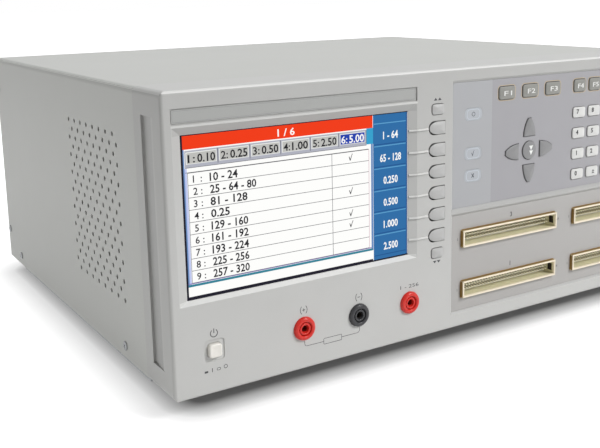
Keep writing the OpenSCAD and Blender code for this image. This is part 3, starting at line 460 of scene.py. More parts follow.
bar_white = lit("display_white_figures", srgb(252, 252, 250))
bar_dark = lit("display_dark_figures", srgb(34, 34, 38))
list_lines = [("10 - 24", 17.6), ("25 - 64 - 80", 29.4), ("81 - 128", 23.4), ("0.25", 11.8)]
list_lines += [(text, 23.4) for text in ("129 - 160", "161 - 192", "193 - 224", "225 - 256", "257 - 320")]
values = ["0.10", "0.25", "0.50", "1.00", "2.50", "5.00"]
menu_lines = [("1 - 64", 11.6), ("65 - 128", 16.5), ("0.250", 11.2), ("0.500", 11.2), ("1.000", 11.2),
              ("2.500", 11.2)]
ink_y = PICTURE_Y - 0.01
dark_text, white_text = [], [figures("1 / 6", 78.6, ink_y, 147.6, 4.4, 11.6, bold=0.015)]
for row, (text, wide) in enumerate(list_lines):
    text_z = ROW_TOP - (row + 0.5) * ROW_PITCH
    dark_text += [figures(f"{row + 1}", 18.3, ink_y, text_z, 4.2, lean="LEFT", bold=0.012),
                  figures(":", 23.4, ink_y, text_z, 4.2, bold=0.012),
                  figures(text, 28.5, ink_y, text_z, 4.8, wide, lean="LEFT", bold=0.02)]
for tab, text in enumerate(values):
    left = TAB_FIRST + tab * TAB_PITCH
    text = [figures(f"{tab + 1}:", left + 1.1, ink_y, 138.8, 4.6, 4.4, lean="LEFT", bold=0.012),
            figures(text, left + 6.9, ink_y, 138.8, 4.8, 11.0, lean="LEFT", bold=0.02)]
    (white_text if tab == 5 else dark_text).extend(text)
for cell, (text, wide) in enumerate(menu_lines):
    white_text.append(figures(text, 154.4, ink_y, MENU_FIRST - cell * MENU_PITCH, 4.8, wide, bold=0.02))


def prism(corners, y, deep=0.08, kind=0):
    """A flat mark with straight edges between its corners, half sunk into depth y."""
    corners = np.asarray(corners, float)
    rings = np.stack([at(corners[:, 0], depth, corners[:, 1]) for depth in (y + deep / 2, y - deep / 2)])
    return skin(rings, kind=kind)


TICK = np.array([[-1.5, 0.4], [-1.1, 0.8], [-0.35, -1.1], [1.2, 2.5], [1.6, 2.5], [-0.2, -2.2], [-0.6, -2.2]])
for row in (0, 3, 5, 6):
    dark_text.append(prism(TICK * (0.92, 0.9) + (123.9, ROW_TOP - (row + 0.5) * ROW_PITCH), ink_y))
piece("display_dark_figures", "case", "display", dark_text, bar_dark)
piece("display_white_figures", "case", "display", white_text, bar_white)

glass_edge = moulded("display_edge", srgb(46, 46, 50), 0.4, pits=0.3)
dress(glass_edge, "lcd_module")


# The side keys: six domed keys beside the display and two small page keys, in light grey plastic.
# Each cap comes through the wall from behind, held by a flange, and its contact pill meets the board.
KEY_PROUD = 1.5
PANEL_SUNK = 1.2
KEY_SEAT, KEY_FLANGE = 4.1, 1.2
FLANGE_OUT = 1.0
PILL_BACK = 8.6
PILL_R = 1.75
SIDE_KEY_X, SIDE_KEY_W, SIDE_KEY_H = 183.2, 13.3, 8.5
PAGE_KEY = (190.5, 10.0, 6.8)
PAGE_KEY_ZS = {"page_key_bottom": 55.9, "page_key_top": 151.6}


def circle(x, z, r, count=96):
    """A round outline about x and z, its starting point at the right."""
    angle = np.linspace(0, 2 * np.pi, count, endpoint=False)
    out = np.stack([np.cos(angle), np.sin(angle)], -1)
    return np.array([x, z]) + r * out, out


def rounding(side, front, radius, count=7, way=1):
    """A quarter round between a side and a front, as rows of a profile that go inwards from the side,
    or with way -1 come back to a side further in. Each row is an inset and a depth."""
    turn = np.linspace(0, np.pi / 2, count)
    return [(side + way * radius * (1 - cos(t)), front + radius * (1 - sin(t))) for t in turn][::way]


def cap(form, front, edge, crown):
    """A key: the flange, the cap's straight side, a quarter round along its edge, and a low dome whose
    height falls with the square of the way out from its middle. The pill stands behind it."""
    flange_back = KEY_SEAT + KEY_FLANGE
    profile = [(-FLANGE_OUT, flange_back), (-FLANGE_OUT, KEY_SEAT), (0, KEY_SEAT)]
    profile += rounding(0, front + crown, edge)
    profile += [(edge, front + crown * share ** 2, share) for share in np.linspace(1, 0.12, 8)[1:]]
    middle = (form[0].max(0) + form[0].min(0)) / 2
    pill = carried(circle(*middle, PILL_R, 24), [(0, PILL_BACK), (0, flange_back - 0.05)])
    return [skin(carried(form, profile)), skin(pill)]


def key(node, slot, parts, *finishes):
    """A key piece that stands for its CAD node and rides on the body of the same name."""
    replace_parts(piece(node + "_cap", node, slot, parts, *finishes), node)


arc = np.linspace(np.pi / 2, 3 * np.pi / 2, 33)
bullet_r = SIDE_KEY_H / 2
nose = 1.75 * bullet_r
bullet = np.vstack([np.stack([nose + nose * np.cos(arc), bullet_r * np.sin(arc)], -1),
                    [[SIDE_KEY_W, -bullet_r], [SIDE_KEY_W, bullet_r]]])
# Where their sides stand inside the frame's holes, the keys are painted darker as shade.
side_grey = moulded("side_key_plastic", srgb(180, 180, 179), 0.4, pits=0.3, depth=0.006, share=0.02,
                    shades=[((170, -0.35, 30), (205, 6, 172), 0.35)])
for i in range(6):
    form = outline(bullet + (SIDE_KEY_X, SIDE_KEY_Z + i * SIDE_KEY_PITCH), 0.7)
    key(f"side_key_{i + 1}", "key_light", cap(form, -KEY_PROUD, 0.7, 0.8), side_grey)
for node, z in PAGE_KEY_ZS.items():
    form = outline(box(PAGE_KEY[0], z, *PAGE_KEY[1:]), 2.0)
    key(node, "key_light", cap(form, -KEY_PROUD, 0.7, 0.7), side_grey)


# The two sunk panels: printed film on thin plates, cool light grey, in pockets of the frame.
# The upper one holds the keys and the indicator windows, the lower one the header connectors.
FOLD_X = 238.8


def film_print(name, colour, left_colour=None):
    """Overlay film: a fine even grain, with painted shade where it lies deeper than its face, at the walls
    of its holes. It can have a lighter field left of a thin line.
    """
    film = Finish(name, colour, 0.4)
    field = film.mottle(colour, 30 * MM, 0.025, 2.0)
    # Painted shade at the walls of the film's holes.
    hole_wall_shade = film.within((200, PANEL_SUNK + 0.06, 0), (425, 4, BODY_H))
    field = film.blend(hole_wall_shade, field, shade(colour, 0.2))
    if left_colour:
        x = film.axis(0)
        fold = float(at(FOLD_X, 0, 0)[0])
        field = film.blend(x < fold, field, film.mottle(left_colour, 30 * MM, 0.02, 2.0))
        field = film.blend((abs(x - fold) < 0.12 * MM) * 0.4, field, shade(colour, 0.72))
    film.feed("Base Color", field)
    fine = film.grain(0.25 * MM, 1.0)
    film.feed("Roughness", 0.34 + 0.12 * fine)
    film.relief(fine, 0.006 * MM)
    return film.material


def panel_line(form, low, width, kind=0):
    """A printed line of that width round an outline on the panel, low outside it."""
    return border(form, PANEL_SUNK + 0.02, low, PANEL_SUNK - 0.03, width, kind)


dress(film_print("keypad_film", srgb(159, 158, 162), srgb(168, 169, 172)), "keypad_panel")
dress(film_print("connector_film", srgb(173, 171, 169)), "connector_panel")


# The indicator windows: clear fields in the film over lamps behind it, off in the photograph.
# Each has a pale blue ring printed round it and a plain mark: a ring, a tick and a cross.
LENS_X, LENS_ZS = 222.1, (145.5, 119.1, 103.9)
lens_blue = srgb(172, 176, 182)
lens = Finish("indicator_window", lens_blue, 0.25, Coat_Weight=0.2)
lens.feed("Base Color", lens.mottle(lens_blue, 3 * MM, 0.03))
lens.relief(lens.grain(0.6 * MM), 0.004 * MM)
dress(lens.material, "indicator_lenses")
ring_ink = printed("ring_ink", srgb(186, 194, 202))
mark_ink = printed("mark_ink", srgb(62, 66, 72))
cross = np.array([[-1, -1], [-0.7, -1.3], [0, -0.4], [0.7, -1.3], [1, -1], [0.35, 0], [1, 1], [0.7, 1.3],
                  [0, 0.4], [-0.7, 1.3], [-1, 1], [-0.35, 0]]) * 1.2
rings = [panel_line(outline(box(LENS_X, z, 10.6, 6.0), 2.4), 0, 0.4) for z in LENS_ZS]
marks = [panel_line(circle(LENS_X, LENS_ZS[0], 1.1, 32), 0, 0.4, 1),
         prism(TICK * 0.8 + (LENS_X - 0.2, LENS_ZS[1]), PANEL_SUNK, kind=1),
         prism(cross + (LENS_X, LENS_ZS[2]), PANEL_SUNK, kind=1)]
piece("indicator_prints", "case", "panel_film", rings + marks, ring_ink, mark_ink)


# The panel keys: moulded caps through the upper panel. Grey function, arrow, back and enter keys,
# white number keys, a green start key and a red stop key, each with a plain printed mark.
PANEL_KEY_Y = PANEL_SUNK - KEY_PROUD
NUMBER_X, NUMBER_Z = 322.9, 92.8
NUMBER_PITCH_X, NUMBER_PITCH_Z = 15.7, 15.1
NUMBER_W, NUMBER_H = 12.6, 7.7
FUNCTION_Z, FUNCTION_H = 157.5, 8.9
FUNCTION_KEYS = [(251.7 + 22 * i, 14.8) for i in range(3)]
FUNCTION_KEYS += [(NUMBER_X + NUMBER_PITCH_X * i, 12.2) for i in range(3)]
ARROW_X, ARROW_Z = 273.9, 115.6
ARROW_BASE, ARROW_L, ARROW_W, ARROW_BLUNT = 10.05, 12.5, 11.2, 1.7
ROUND_R = 6.5
ACTION_X = NUMBER_X + 4.75 * NUMBER_PITCH_X
ACTION_SIZE = 20.0
EDGE, CROWN = 0.75, 0.5
MARK_Y, MARK_DEEP = PANEL_KEY_Y + 0.2, 0.46


def key_plastic(name, colour, roughness=0.4, depth=0.006, share=0.03):
    """Key plastic, with painted shade where the cap stands inside its hole in the panel."""
    hole = ((200, 0.75, 80), (425, 6, 172), 0.4)
    return moulded(name, srgb(*colour), roughness, 0.3, depth, share, shades=[hole])


key_grey = key_plastic("grey_key_plastic", (138, 138, 133), 0.42)
key_dark = key_plastic("arrow_key_plastic", (135, 135, 136))
key_white = key_plastic("white_key_plastic", (216, 216, 214), 0.38, 0.005, 0.015)
key_green = key_plastic("green_key_plastic", (84, 160, 104))
key_red = key_plastic("red_key_plastic", (196, 74, 66))
white_ink = printed("white_ink", srgb(240, 240, 238))
key_ink = printed("dark_key_ink", srgb(46, 46, 48))
amber_ink = printed("amber_ink", srgb(196, 176, 140))


def box_key(node, slot, x, z, w, h, finish, marks, ink):
    """A key with a rounded box for its outline. Its marks are sunk in the dome and just show on top."""
    key(node, slot, cap(outline(box(x, z, w, h), 2.2), PANEL_KEY_Y, EDGE, CROWN) + marks, finish, ink)


for i, (x, wide) in enumerate(FUNCTION_KEYS):
    label = figures(f"F{i + 1}", x, MARK_Y, FUNCTION_Z - 0.1, 3.4, 7.0 if i < 3 else 6.0, 1, MARK_DEEP)
    box_key(f"function_key_{i + 1}", "key_grey", x, FUNCTION_Z, wide, FUNCTION_H, key_grey, [label],
            white_ink)
key_frames = [panel_line(outline(box(x, FUNCTION_Z, wide, FUNCTION_H), 2.2), 0.5, 0.4)
              for x, wide in FUNCTION_KEYS]
piece("function_key_frames", "case", "panel_film", key_frames, amber_ink)

labels = ["0", "±", ".", "1", "2", "3", "4", "5", "6", "7", "8", "9"]
for i, text in enumerate(labels):
    x = NUMBER_X + i % 3 * NUMBER_PITCH_X
    z = NUMBER_Z + i // 3 * NUMBER_PITCH_Z
    dx, dz = (0.4, 0.4) if text == "±" else (-2.2, 0.8)
    label = figures(text, x + dx, MARK_Y, z + dz, 3.3, kind=1, deep=MARK_DEEP, bold=0.02)
    box_key(f"number_key_{i + 1}", "key_white", x, z, NUMBER_W, NUMBER_H, key_white, [label], key_ink)

arrow_left = np.array([[-2.6, 0], [0.4, 1.9], [0.4, 0.5], [2.6, 0.5], [2.6, -0.5], [0.4, -0.5], [0.4, -1.9]])
enter_mark = np.array([[-2.6, -1.2], [0.2, 0.9], [0.2, -0.7], [2.0, -0.7], [2.0, 3.2], [3.0, 3.2],
                       [3.0, -1.7], [0.2, -1.7], [0.2, -3.3]])
start_mark = np.array([[-2.6, -3.2], [3.4, 0], [-2.6, 3.2]])
stop_mark = box(0, 0, 5.6, 5.6)
side_x = NUMBER_X + 3 * NUMBER_PITCH_X
enter_h = 2 * NUMBER_PITCH_Z + NUMBER_H
for node, slot, x, row, w, h, finish, mark in (
        ("back_key", "key_grey", side_x, 3, NUMBER_W, NUMBER_H, key_grey, arrow_left),
        ("enter_key", "key_grey", side_x, 1, NUMBER_W, enter_h, key_grey, enter_mark),
        ("start_key", "key_green", ACTION_X, 0.5, ACTION_SIZE, ACTION_SIZE, key_green, start_mark),
        ("stop_key", "key_red", ACTION_X, 2.5, ACTION_SIZE, ACTION_SIZE, key_red, stop_mark)):
    z = NUMBER_Z + row * NUMBER_PITCH_Z
    box_key(node, slot, x, z, w, h, finish, [prism(mark + (x, z), MARK_Y, MARK_DEEP, 1)], white_ink)

arrow_r = (ARROW_L + ARROW_BLUNT) ** 2 / ARROW_W + ARROW_W / 4
rise = np.linspace(0, ARROW_L, 24)
reach_out = ARROW_W / 2 - arrow_r + np.sqrt(arrow_r ** 2 - rise ** 2)
leaf = np.vstack([np.stack([reach_out, rise], -1), np.stack([-reach_out, rise], -1)[::-1]])
for angle, way in enumerate(("up", "right", "down", "left")):
    along = np.array([sin(angle * np.pi / 2), cos(angle * np.pi / 2)])
    across = np.array([along[1], -along[0]])
    corners = leaf[:, :1] * across + (leaf[:, 1:] + ARROW_BASE) * along + (ARROW_X, ARROW_Z)
    key(f"arrow_key_{way}", "key_grey", cap(outline(corners, 0.7), PANEL_KEY_Y, EDGE, CROWN), key_dark)
down_tip = np.array([[-1.8, 1.52], [0, -1.71], [1.8, 1.52]]) + (ARROW_X + 0.7, ARROW_Z)
pointers = [prism(down_tip + (0, dz), MARK_Y, MARK_DEEP, 1) for dz in (1.8, -1.6)]
key("round_key", "key_grey", cap(circle(ARROW_X, ARROW_Z, ROUND_R), PANEL_KEY_Y, EDGE, CROWN) + pointers,
    key_dark, white_ink)


# The header connectors: deep amber-ivory mouldings in the lower panel, for the harness adapters.
# Their lips are rounded and paler than their outer sides, and two rows of gold-plated pins stand inside.
HEADER_W, HEADER_H, HEADER_WALL = 89.0, 11.6, 1.2
HEADER_XS, HEADER_ZS = (257.1, 364.3), (25.9, 61.5)
HEADER_FRONT = -1.2
LIP = 0.06


def amber(name, colour, deep, size, roughness, shades=()):
    """Glass-filled polyester: cloudy between two tones, with a slightly waxy gloss.
    Each shade is a box, from low to high, that has a colour of its own."""
    body = Finish(name, colour, roughness, Coat_Weight=0.15)
    tone = body.blend(body.grain(size * MM, 3.0), deep, colour)
    for low, high, own in shades:
        tone = body.blend(body.within(low, high), tone, own)
    body.feed("Base Color", tone)
    body.relief(body.grain(0.3 * MM), 0.006 * MM)
    return body.material


# Painted shade darkens the window in each header's end wall, and painted light makes the floor of each socket
# pale.
windows = [((x + 43.3, 1.3, z - 2.6), (x + 44.45, 5.3, z + 2.6), srgb(36, 27, 18))
           for x in HEADER_XS for z in HEADER_ZS]
painted_floor_light = [((208, 9.2, 18), (412, 9.6, 70), srgb(250, 249, 240))]
header_inside = amber("header_ivory", srgb(226, 221, 190), srgb(212, 206, 168), 1.6, 0.45, painted_floor_light + windows)
# The outer sides are a darker amber than the lip: partly the plastic's own tone, partly painted shade.
header_side = amber("header_amber", srgb(160, 128, 68), srgb(136, 106, 54), 1.2, 0.42)
header_lip = amber("header_lip", srgb(250, 240, 222), srgb(240, 226, 200), 2.5, 0.35)
dress(header_inside, "header_connectors")
lip_edge = 0.3
rims = []
for x in HEADER_XS:
    for z in HEADER_ZS:
        form = outline(box(x, z, HEADER_W, HEADER_H), 0.35, 320)
        inner, front = HEADER_WALL + LIP, HEADER_FRONT - LIP
        side = [(-LIP, 2.1), (-LIP, front + lip_edge)]
        lip = rounding(-LIP, front, lip_edge, 5) + rounding(inner, front, lip_edge, 5, -1)
        lip += [(inner, 0.2), (inner - 0.2, 0.2), (0.2, 0.1)]
        rims.append(skin(carried(form, side + [(0.2, 2.1)]), True, 0))
        rims.append(skin(carried(form, lip), True, 1))
        rims.append(border(form, PANEL_SUNK + 0.02, 0.2, PANEL_SUNK - 0.05, 0.45, 0))
piece("header_rims", "case", "header_plastic", rims, header_side, header_lip)

gold = Finish("pin_gold", srgb(214, 200, 160), 0.28, Metallic=0.8)
# The pins are painted pale at their front ends and darker further in: painted light at the socket's mouth and
# painted shade deep inside.
tips = float(at(0, 4.9, 0)[1])
gold.feed("Base Color", gold.blend(gold.axis(1) < tips, gold.mottle(srgb(176, 168, 146), 1.5 * MM, 0.12),
                                   gold.mottle(srgb(252, 246, 226), 1.5 * MM, 0.06)))
gold.feed("Roughness", 0.25 + 0.25 * gold.grain(0.8 * MM))
dress(gold.material, "header_pins")


# The test jacks: glossy turned plastic, a low domed flange round a groove and a nose, screwed in
# from behind with a nut. A plated contact sleeve sits deep in the bore.
JACK_XS, JACK_Z = (86.4, 126.9, 167.4), 26.1
JACK_R, JACK_PROUD = 7.5, 2.2
GROOVE_R, NOSE_R, MOUTH_R, BARREL_R = 4.4, 3.8, 2.5, 5.5
NOSE_FRONT, NOSE_EDGE, GROOVE_FLOOR, JACK_BACK = -1.6, 0.3, -0.2, 22.0


def turned(profile, x, z):
    """A profile of radius and depth turned about an axis that runs front to back through x and z."""
    angle = np.linspace(0, 2 * np.pi, 96, endpoint=False)
    radius, depth = np.array(profile).T
    return at(x + np.multiply.outer(radius, np.cos(angle)), depth[:, None],
              z + np.multiply.outer(radius, np.sin(angle)))


def jack_profile():
    """The flange's front rises from the groove in a short round, and falls to its edge as a
    flattened ellipse. The nose has small rounds on both edges."""
    share = np.linspace(0, 1, 17)[1:-1]
    peak = 0.3
    falls = np.where(share < peak, 0.27 * (1 - share / peak) ** 2,
                     1 - np.sqrt(1 - (np.maximum(share - peak, 0) / (1 - peak)) ** 2.6))
    dome = [(GROOVE_R + s * (JACK_R - GROOVE_R), -JACK_PROUD * (1 - f)) for s, f in zip(share, falls)]
    nose = rounding(MOUTH_R, NOSE_FRONT, NOSE_EDGE, 4) + rounding(NOSE_R, NOSE_FRONT, NOSE_EDGE, 4, -1)
    back = [(JACK_R, 0), (BARREL_R, 0), (BARREL_R, 4.0), (7.5, 4.0), (7.5, 7.5), (BARREL_R, 7.5),
            (BARREL_R, JACK_BACK), (3.05, JACK_BACK), (3.05, -0.1), (2.05, -0.1), (2.05, -0.3),
            (MOUTH_R, -0.8)]
    return nose + [(NOSE_R, GROOVE_FLOOR), (GROOVE_R, GROOVE_FLOOR), (GROOVE_R, -1.5)] + dome + back


def glossy(name, colour, roughness):
    """Polished plastic with faint turning marks and a clear gloss."""
    body = Finish(name, colour, roughness, Specular_IOR_Level=0.25, Coat_Weight=0.15, Coat_Roughness=0.12)
    body.feed("Base Color", body.mottle(colour, 4 * MM, 0.05))
    body.relief(body.grain(0.5 * MM), 0.003 * MM)
    return body.material


jack_red = glossy("jack_red_plastic", srgb(214, 44, 34), 0.32)
jack_black = glossy("jack_black_plastic", srgb(52, 52, 55), 0.34)
profile = jack_profile()
reds = [skin(turned(profile, JACK_XS[k], JACK_Z), True) for k in (0, 2)]
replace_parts(piece("red_jack_bodies", "case", "jack_red", reds, jack_red, smooth=50), "red_jacks")
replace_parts(piece("black_jack_body", "case", "jack_black", [skin(turned(profile, JACK_XS[1], JACK_Z), True)],
                  jack_black, smooth=50), "black_jack")
# The sleeve is painted in the jack's own colour, darkened as shade in the bore: dark red in the red jacks,
# near black in the black one.
sleeve = Finish("contact_sleeve", srgb(120, 104, 76), 0.35)
off_middle = abs(sleeve.axis(0) - float(at(JACK_XS[1], 0, 0)[0]))
inner = sleeve.blend(off_middle < 9 * MM, srgb(150, 26, 20), srgb(34, 32, 32))
sleeve.feed("Base Color", sleeve.blend(sleeve.grain(1 * MM) * 0.3, inner, srgb(96, 84, 66)))
dress(sleeve.material, "jack_contacts")


# The mains button: an ivory cap with rounded edges and a faintly dished face, in a sunk surround.
# Its stem pushes the switch on the back of the frame.
MAINS_X, MAINS_Z, MAINS_W = 25.9, 26.5, 8.2
MAINS_FRONT, MAINS_EDGE, DISH = -2.2, 1.0, 0.3
STEM_R, STEM_BACK = 2.0, 14.0
mains_profile = [(-FLANGE_OUT, KEY_SEAT + KEY_FLANGE), (-FLANGE_OUT, KEY_SEAT), (0, KEY_SEAT)]
mains_profile += rounding(0, MAINS_FRONT, MAINS_EDGE)
mains_profile += [(MAINS_EDGE, MAINS_FRONT + DISH * (1 - share ** 2), share)
                  for share in np.linspace(0.96, 0.1, 8)]
stem = carried(circle(MAINS_X, MAINS_Z, STEM_R, 24), [(0, STEM_BACK), (0, KEY_SEAT + KEY_FLANGE - 0.05)])
ivory = moulded("ivory_plastic", srgb(236, 233, 226), 0.3, pits=0.3, depth=0.004, share=0.02)
mains_form = outline(box(MAINS_X, MAINS_Z, MAINS_W, MAINS_W), 2.2)
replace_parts(piece("mains_button_cap", "power_button", "button_ivory",
                  [skin(carried(mains_form, mains_profile)), skin(stem)], ivory), "power_button")
dress(moulded("switch_black", srgb(48, 48, 50), 0.45, pits=0.4, edge=0.3), "power_switch")


# The frame's prints: dark grey screen-printed signs, all plain ones. On and off marks by the mains
# button, plus and minus signs and a bracket at the jacks, and numbers at the headers.
PRINT_Y = -0.01
PRINT_DEEP = 0.06


def sign(corners):
    """A printed mark on the frame's face, with straight edges between its corners."""
    return prism(corners, PRINT_Y, PRINT_DEEP)


def bar(x0, z0, x1, z1, width):
    """A straight stroke of that width from one point to another."""
    start, end = np.array([x0, z0]), np.array([x1, z1])
    across = (end - start)[::-1] * (1, -1) / np.linalg.norm(end - start) * width / 2
    return sign([start + across, end + across, end - across, start - across])


def bow(x, z, r, width, first, last, count=9, side=1):
    """A stroke along a circle about x and z, inside its radius, between two angles in degrees that are
    counted from the right, or with side -1 from the left."""
    angle = np.radians(np.linspace(first, last, count))
    way = np.stack([side * np.cos(angle), np.sin(angle)], -1)
    return sign(np.vstack([way * r, way[::-1] * (r - width)]) + (x, z))


def print_line(form, width):
    """A printed line of that width round an outline on the frame's face."""
    return border(form, PRINT_Y + 0.03, 0, PRINT_Y - 0.03, width)


POWER_Z, SIGN_Z = 36.7, 37.9
PLUS_X, MINUS_X = 86.3, 127.1
THIN = 0.3
LOOP_Z, LOOP_TOP, LOOP_TURN, LOOP_REACH = 14.5, 18.1, 1.8, 9.6
RESISTOR_X, RESISTOR_W, RESISTOR_H = 107.0, 13.0, 3.4
prints = [bow(MAINS_X, POWER_Z, 2.5, 0.5, 125, 415, 25), bar(MAINS_X, POWER_Z, MAINS_X, POWER_Z + 2.8, 0.5),
          sign(box(20.2, 14.2, 2.2, 1.2)), bar(24.0, 13.4, 24.0, 15.8, 0.45),
          print_line(outline(box(28.1, 14.5, 1.8, 1.0), 0.1, 32), THIN),
          print_line(circle(32.6, 15.0, 0.9, 32), 0.35)]
for x in (PLUS_X, MINUS_X):
    prints += [bow(x - side * 1.2, SIGN_Z, 3.8, 0.4, -42, 42, side=side) for side in (-1, 1)]
    prints.append(bar(x - 1.0, SIGN_Z, x + 1.0, SIGN_Z, 0.4))
prints.append(bar(PLUS_X, SIGN_Z - 1.0, PLUS_X, SIGN_Z + 1.0, 0.4))
for side, x in ((1, 86.5), (-1, 127.4)):
    bend_x, bend_z = x + side * LOOP_TURN, LOOP_Z + LOOP_TURN
    prints += [bow(bend_x, bend_z, LOOP_TURN + THIN / 2, THIN, 180, 270, side=side),
               bar(x, bend_z, x, LOOP_TOP, THIN), bar(bend_x, LOOP_Z, x + side * LOOP_REACH, LOOP_Z, THIN)]
prints += [print_line(outline(box(RESISTOR_X, LOOP_Z, RESISTOR_W, RESISTOR_H), 0.1, 64), THIN),
           bar(96.1, LOOP_Z, 100.3, LOOP_Z, THIN), bar(113.7, LOOP_Z, 117.8, LOOP_Z, THIN),
           figures("1 - 256", 167.5, PRINT_Y, 37.4, 2.5, 15.0, deep=PRINT_DEEP)]
tip = np.array([[-1.5, -0.9], [1.5, -0.9], [0, 0.9]])
for z, flip in ((158.2, 1), (49.7, -1)):
    prints += [sign(tip[::flip] * (1, flip) + (x, z)) for x in (188.6, 192.0)]
dark_ink = printed("dark_ink", srgb(62, 62, 66))
piece("frame_prints", "case", "frame_plastic", prints, dark_ink)
header_prints = []
for k, (x, z) in enumerate([(x, z) for z in HEADER_ZS for x in HEADER_XS]):
    header_prints.append(figures(str(k + 1), x + 1.2, PANEL_SUNK, z + 10.6, 3.4, deep=PRINT_DEEP, bold=0.015))
    header_prints += [figures(text, x + side * (HEADER_W / 2 + 3.2), PANEL_SUNK, z, 2.0, deep=PRINT_DEEP)
                      for side, text in ((-1, "1"), (1, "64"))]
piece("header_prints", "case", "panel_film", header_prints, printed("header_ink", srgb(62, 62, 66)))


# The boards: green-coated glass epoxy with copper runs under the coat. One is behind the keys, the
# others carry the relays and the power parts inside the case.
def coated_board(name):
    """Solder mask: darker green between the runs, which go in steps of 2.54 mm, with small pads."""
    board = Finish(name, srgb(34, 96, 62), 0.3, Coat_Weight=0.3)
    x, y = (board.axis(k) % (2.54 * MM) for k in (0, 1))
    runs = (x < 0.6 * MM) * (board.grain(6 * MM) > 0.5)
    pads = (abs(x - 1.27 * MM) < 0.4 * MM) * (abs(y - 1.27 * MM) < 0.4 * MM)
    green = board.blend(runs, srgb(30, 88, 56), srgb(52, 124, 80))
    board.feed("Base Color", board.blend(pads * (board.grain(9 * MM) > 0.55), green, srgb(178, 176, 160)))
    board.relief(runs, 0.03 * MM)
    return board.material


dress(coated_board("solder_mask"), "keypad_board", "main_board", "relay_boards")


# The power transformer: varnished steel laminations round a wound and taped coil, on a bent foot that
# is screwed to the tray.
laminations = Finish("varnished_laminations", srgb(122, 98, 64), 0.4, Coat_Weight=0.3)
leaves = laminations.axis(1) % (0.5 * MM) < 0.08 * MM
laminations.feed("Base Color", laminations.blend(leaves, laminations.mottle(srgb(126, 104, 72), 5 * MM, 0.12),
                                                 srgb(60, 48, 34)))
laminations.relief(leaves, 0.05 * MM)
dress(laminations.material, "power_transformer")


# The case: a folded cover over a tray, both in sheet steel. The cover and the back are powder-coated
# warm grey with a fine orange-peel skin, and the tray inside is bare zinc plate.
BODY_D = 360.0
SHEET_IN = 1.7
BEND_W, BEND_LOW, BEND_HIGH = 2.2, 174.8, 176.6


def coated_sheet(name, colour):
    """Powder coat: a close, softly wavy skin with a faint sheen. A painted highlight runs along the two
    long bends, painted shade darkens it inside, and painted light and shade make it a little brighter at
    the case's bottom than at its top."""
    coat = Finish(name, colour, 0.44)
    waves = coat.grain(0.9 * MM, 1.5)
    # Painted light and shade by height.
    tone = coat.shaded_by_height(colour, 40 * MM, 0.02, (1.17, 0.95))
    # Painted highlight along the two long bends.
    for x in (-0.6, BODY_W - BEND_W):
        bend = coat.within((x, -1, BEND_LOW), (x + BEND_W + 0.6, BODY_D + 2, BEND_HIGH))
        tone = coat.blend(bend, tone, shade(colour, 1.45))
    # Painted shade inside the cover and the back.
    inside = coat.within((SHEET_IN, -1, SHEET_IN), (BODY_W - SHEET_IN, BODY_D - SHEET_IN, BODY_H - SHEET_IN))
    coat.feed("Base Color", coat.blend(inside, tone, shade(colour, 0.2)))
    coat.feed("Roughness", 0.38 + 0.12 * waves)
    coat.relief(waves, 0.014 * MM, edge=0.35 * MM)
    return coat.material


def plated(name, colour, roughness):
    """Zinc plate: cloudy grey-blue crystals, metallic, with fine drawn lines."""
    metal = Finish(name, colour, roughness, Metallic=0.9)
    metal.feed("Base Color", metal.mottle(colour, 3 * MM, 0.1, 4.0))
    metal.feed("Roughness", roughness - 0.1 + 0.2 * metal.grain(1.2 * MM, 3.0))
    metal.relief(metal.grain(0.2 * MM), 0.004 * MM, edge=0.2 * MM)
    return metal.material


case_paint = coated_sheet("case_paint", srgb(191, 192, 188))
zinc = plated("zinc_plate", srgb(150, 152, 154), 0.46)
dress(case_paint, "top_cover", "rear_panel")
dress(zinc, "chassis_tray")


# The screws: zinc-plated pan heads with a cross recess, in the cover's sides, the back and the tray.
# Longer ones hold the front frame from behind.
INLET_X, INLET_Z = 62, 52
FAN_X, FAN_Z, FAN_SCREW = 325, 105, 25
FRAME_SCREW_IN, FRAME_BACK = 12, 41.2
FOOT_X, FOOT_YS = 45, (64, BODY_D - 68)
SCREW_R, HEAD_R, HEAD_H = 1.5, 3.0, 1.0
RECESS_R, RECESS_HALF, RECESS_DEEP = 1.75, 0.36, 0.75
INSET = 0.6


def screw(head_at, way, shank):
    """A pan head: its height falls as the fourth power of the radius, less the cross recess, which is
    there where a point is near an arm's middle line and inside the recess's reach. A plain shank."""
    way = Vector(way)
    side = way.orthogonal().normalized()
    up = way.cross(side)
    columns = 64
    angle = np.linspace(0, 2 * np.pi, columns, endpoint=False)
    radius = np.linspace(0.06, 1, 17)[::-1] * HEAD_R
    near = np.abs(np.sin((angle + np.pi / 4) % (np.pi / 2) - np.pi / 4))
    off_arm = np.multiply.outer(radius, near)
    reach = np.clip((RECESS_R - radius) / 0.35, 0, 1)[:, None]
    recess = RECESS_DEEP * reach * np.clip((RECESS_HALF + 0.1 - off_arm) / 0.2, 0, 1)
    top = (HEAD_H * (1 - 0.45 * (radius / HEAD_R) ** 4))[:, None] - recess
    low = np.array([(SCREW_R * 0.7, -shank), (SCREW_R, 0.6 - shank), (SCREW_R, 0.0), (HEAD_R, 0.0)])
    radii = np.concatenate([low[:, 0], radius])
    heights = np.vstack([np.repeat(low[:, 1:], columns, 1), top])
    spokes = np.multiply.outer(np.cos(angle), np.array(side)) + np.multiply.outer(np.sin(angle), np.array(up))
    rings = at(*head_at) + MM * (radii[:, None, None] * spokes + heights[..., None] * np.array(way))
    return skin(rings)


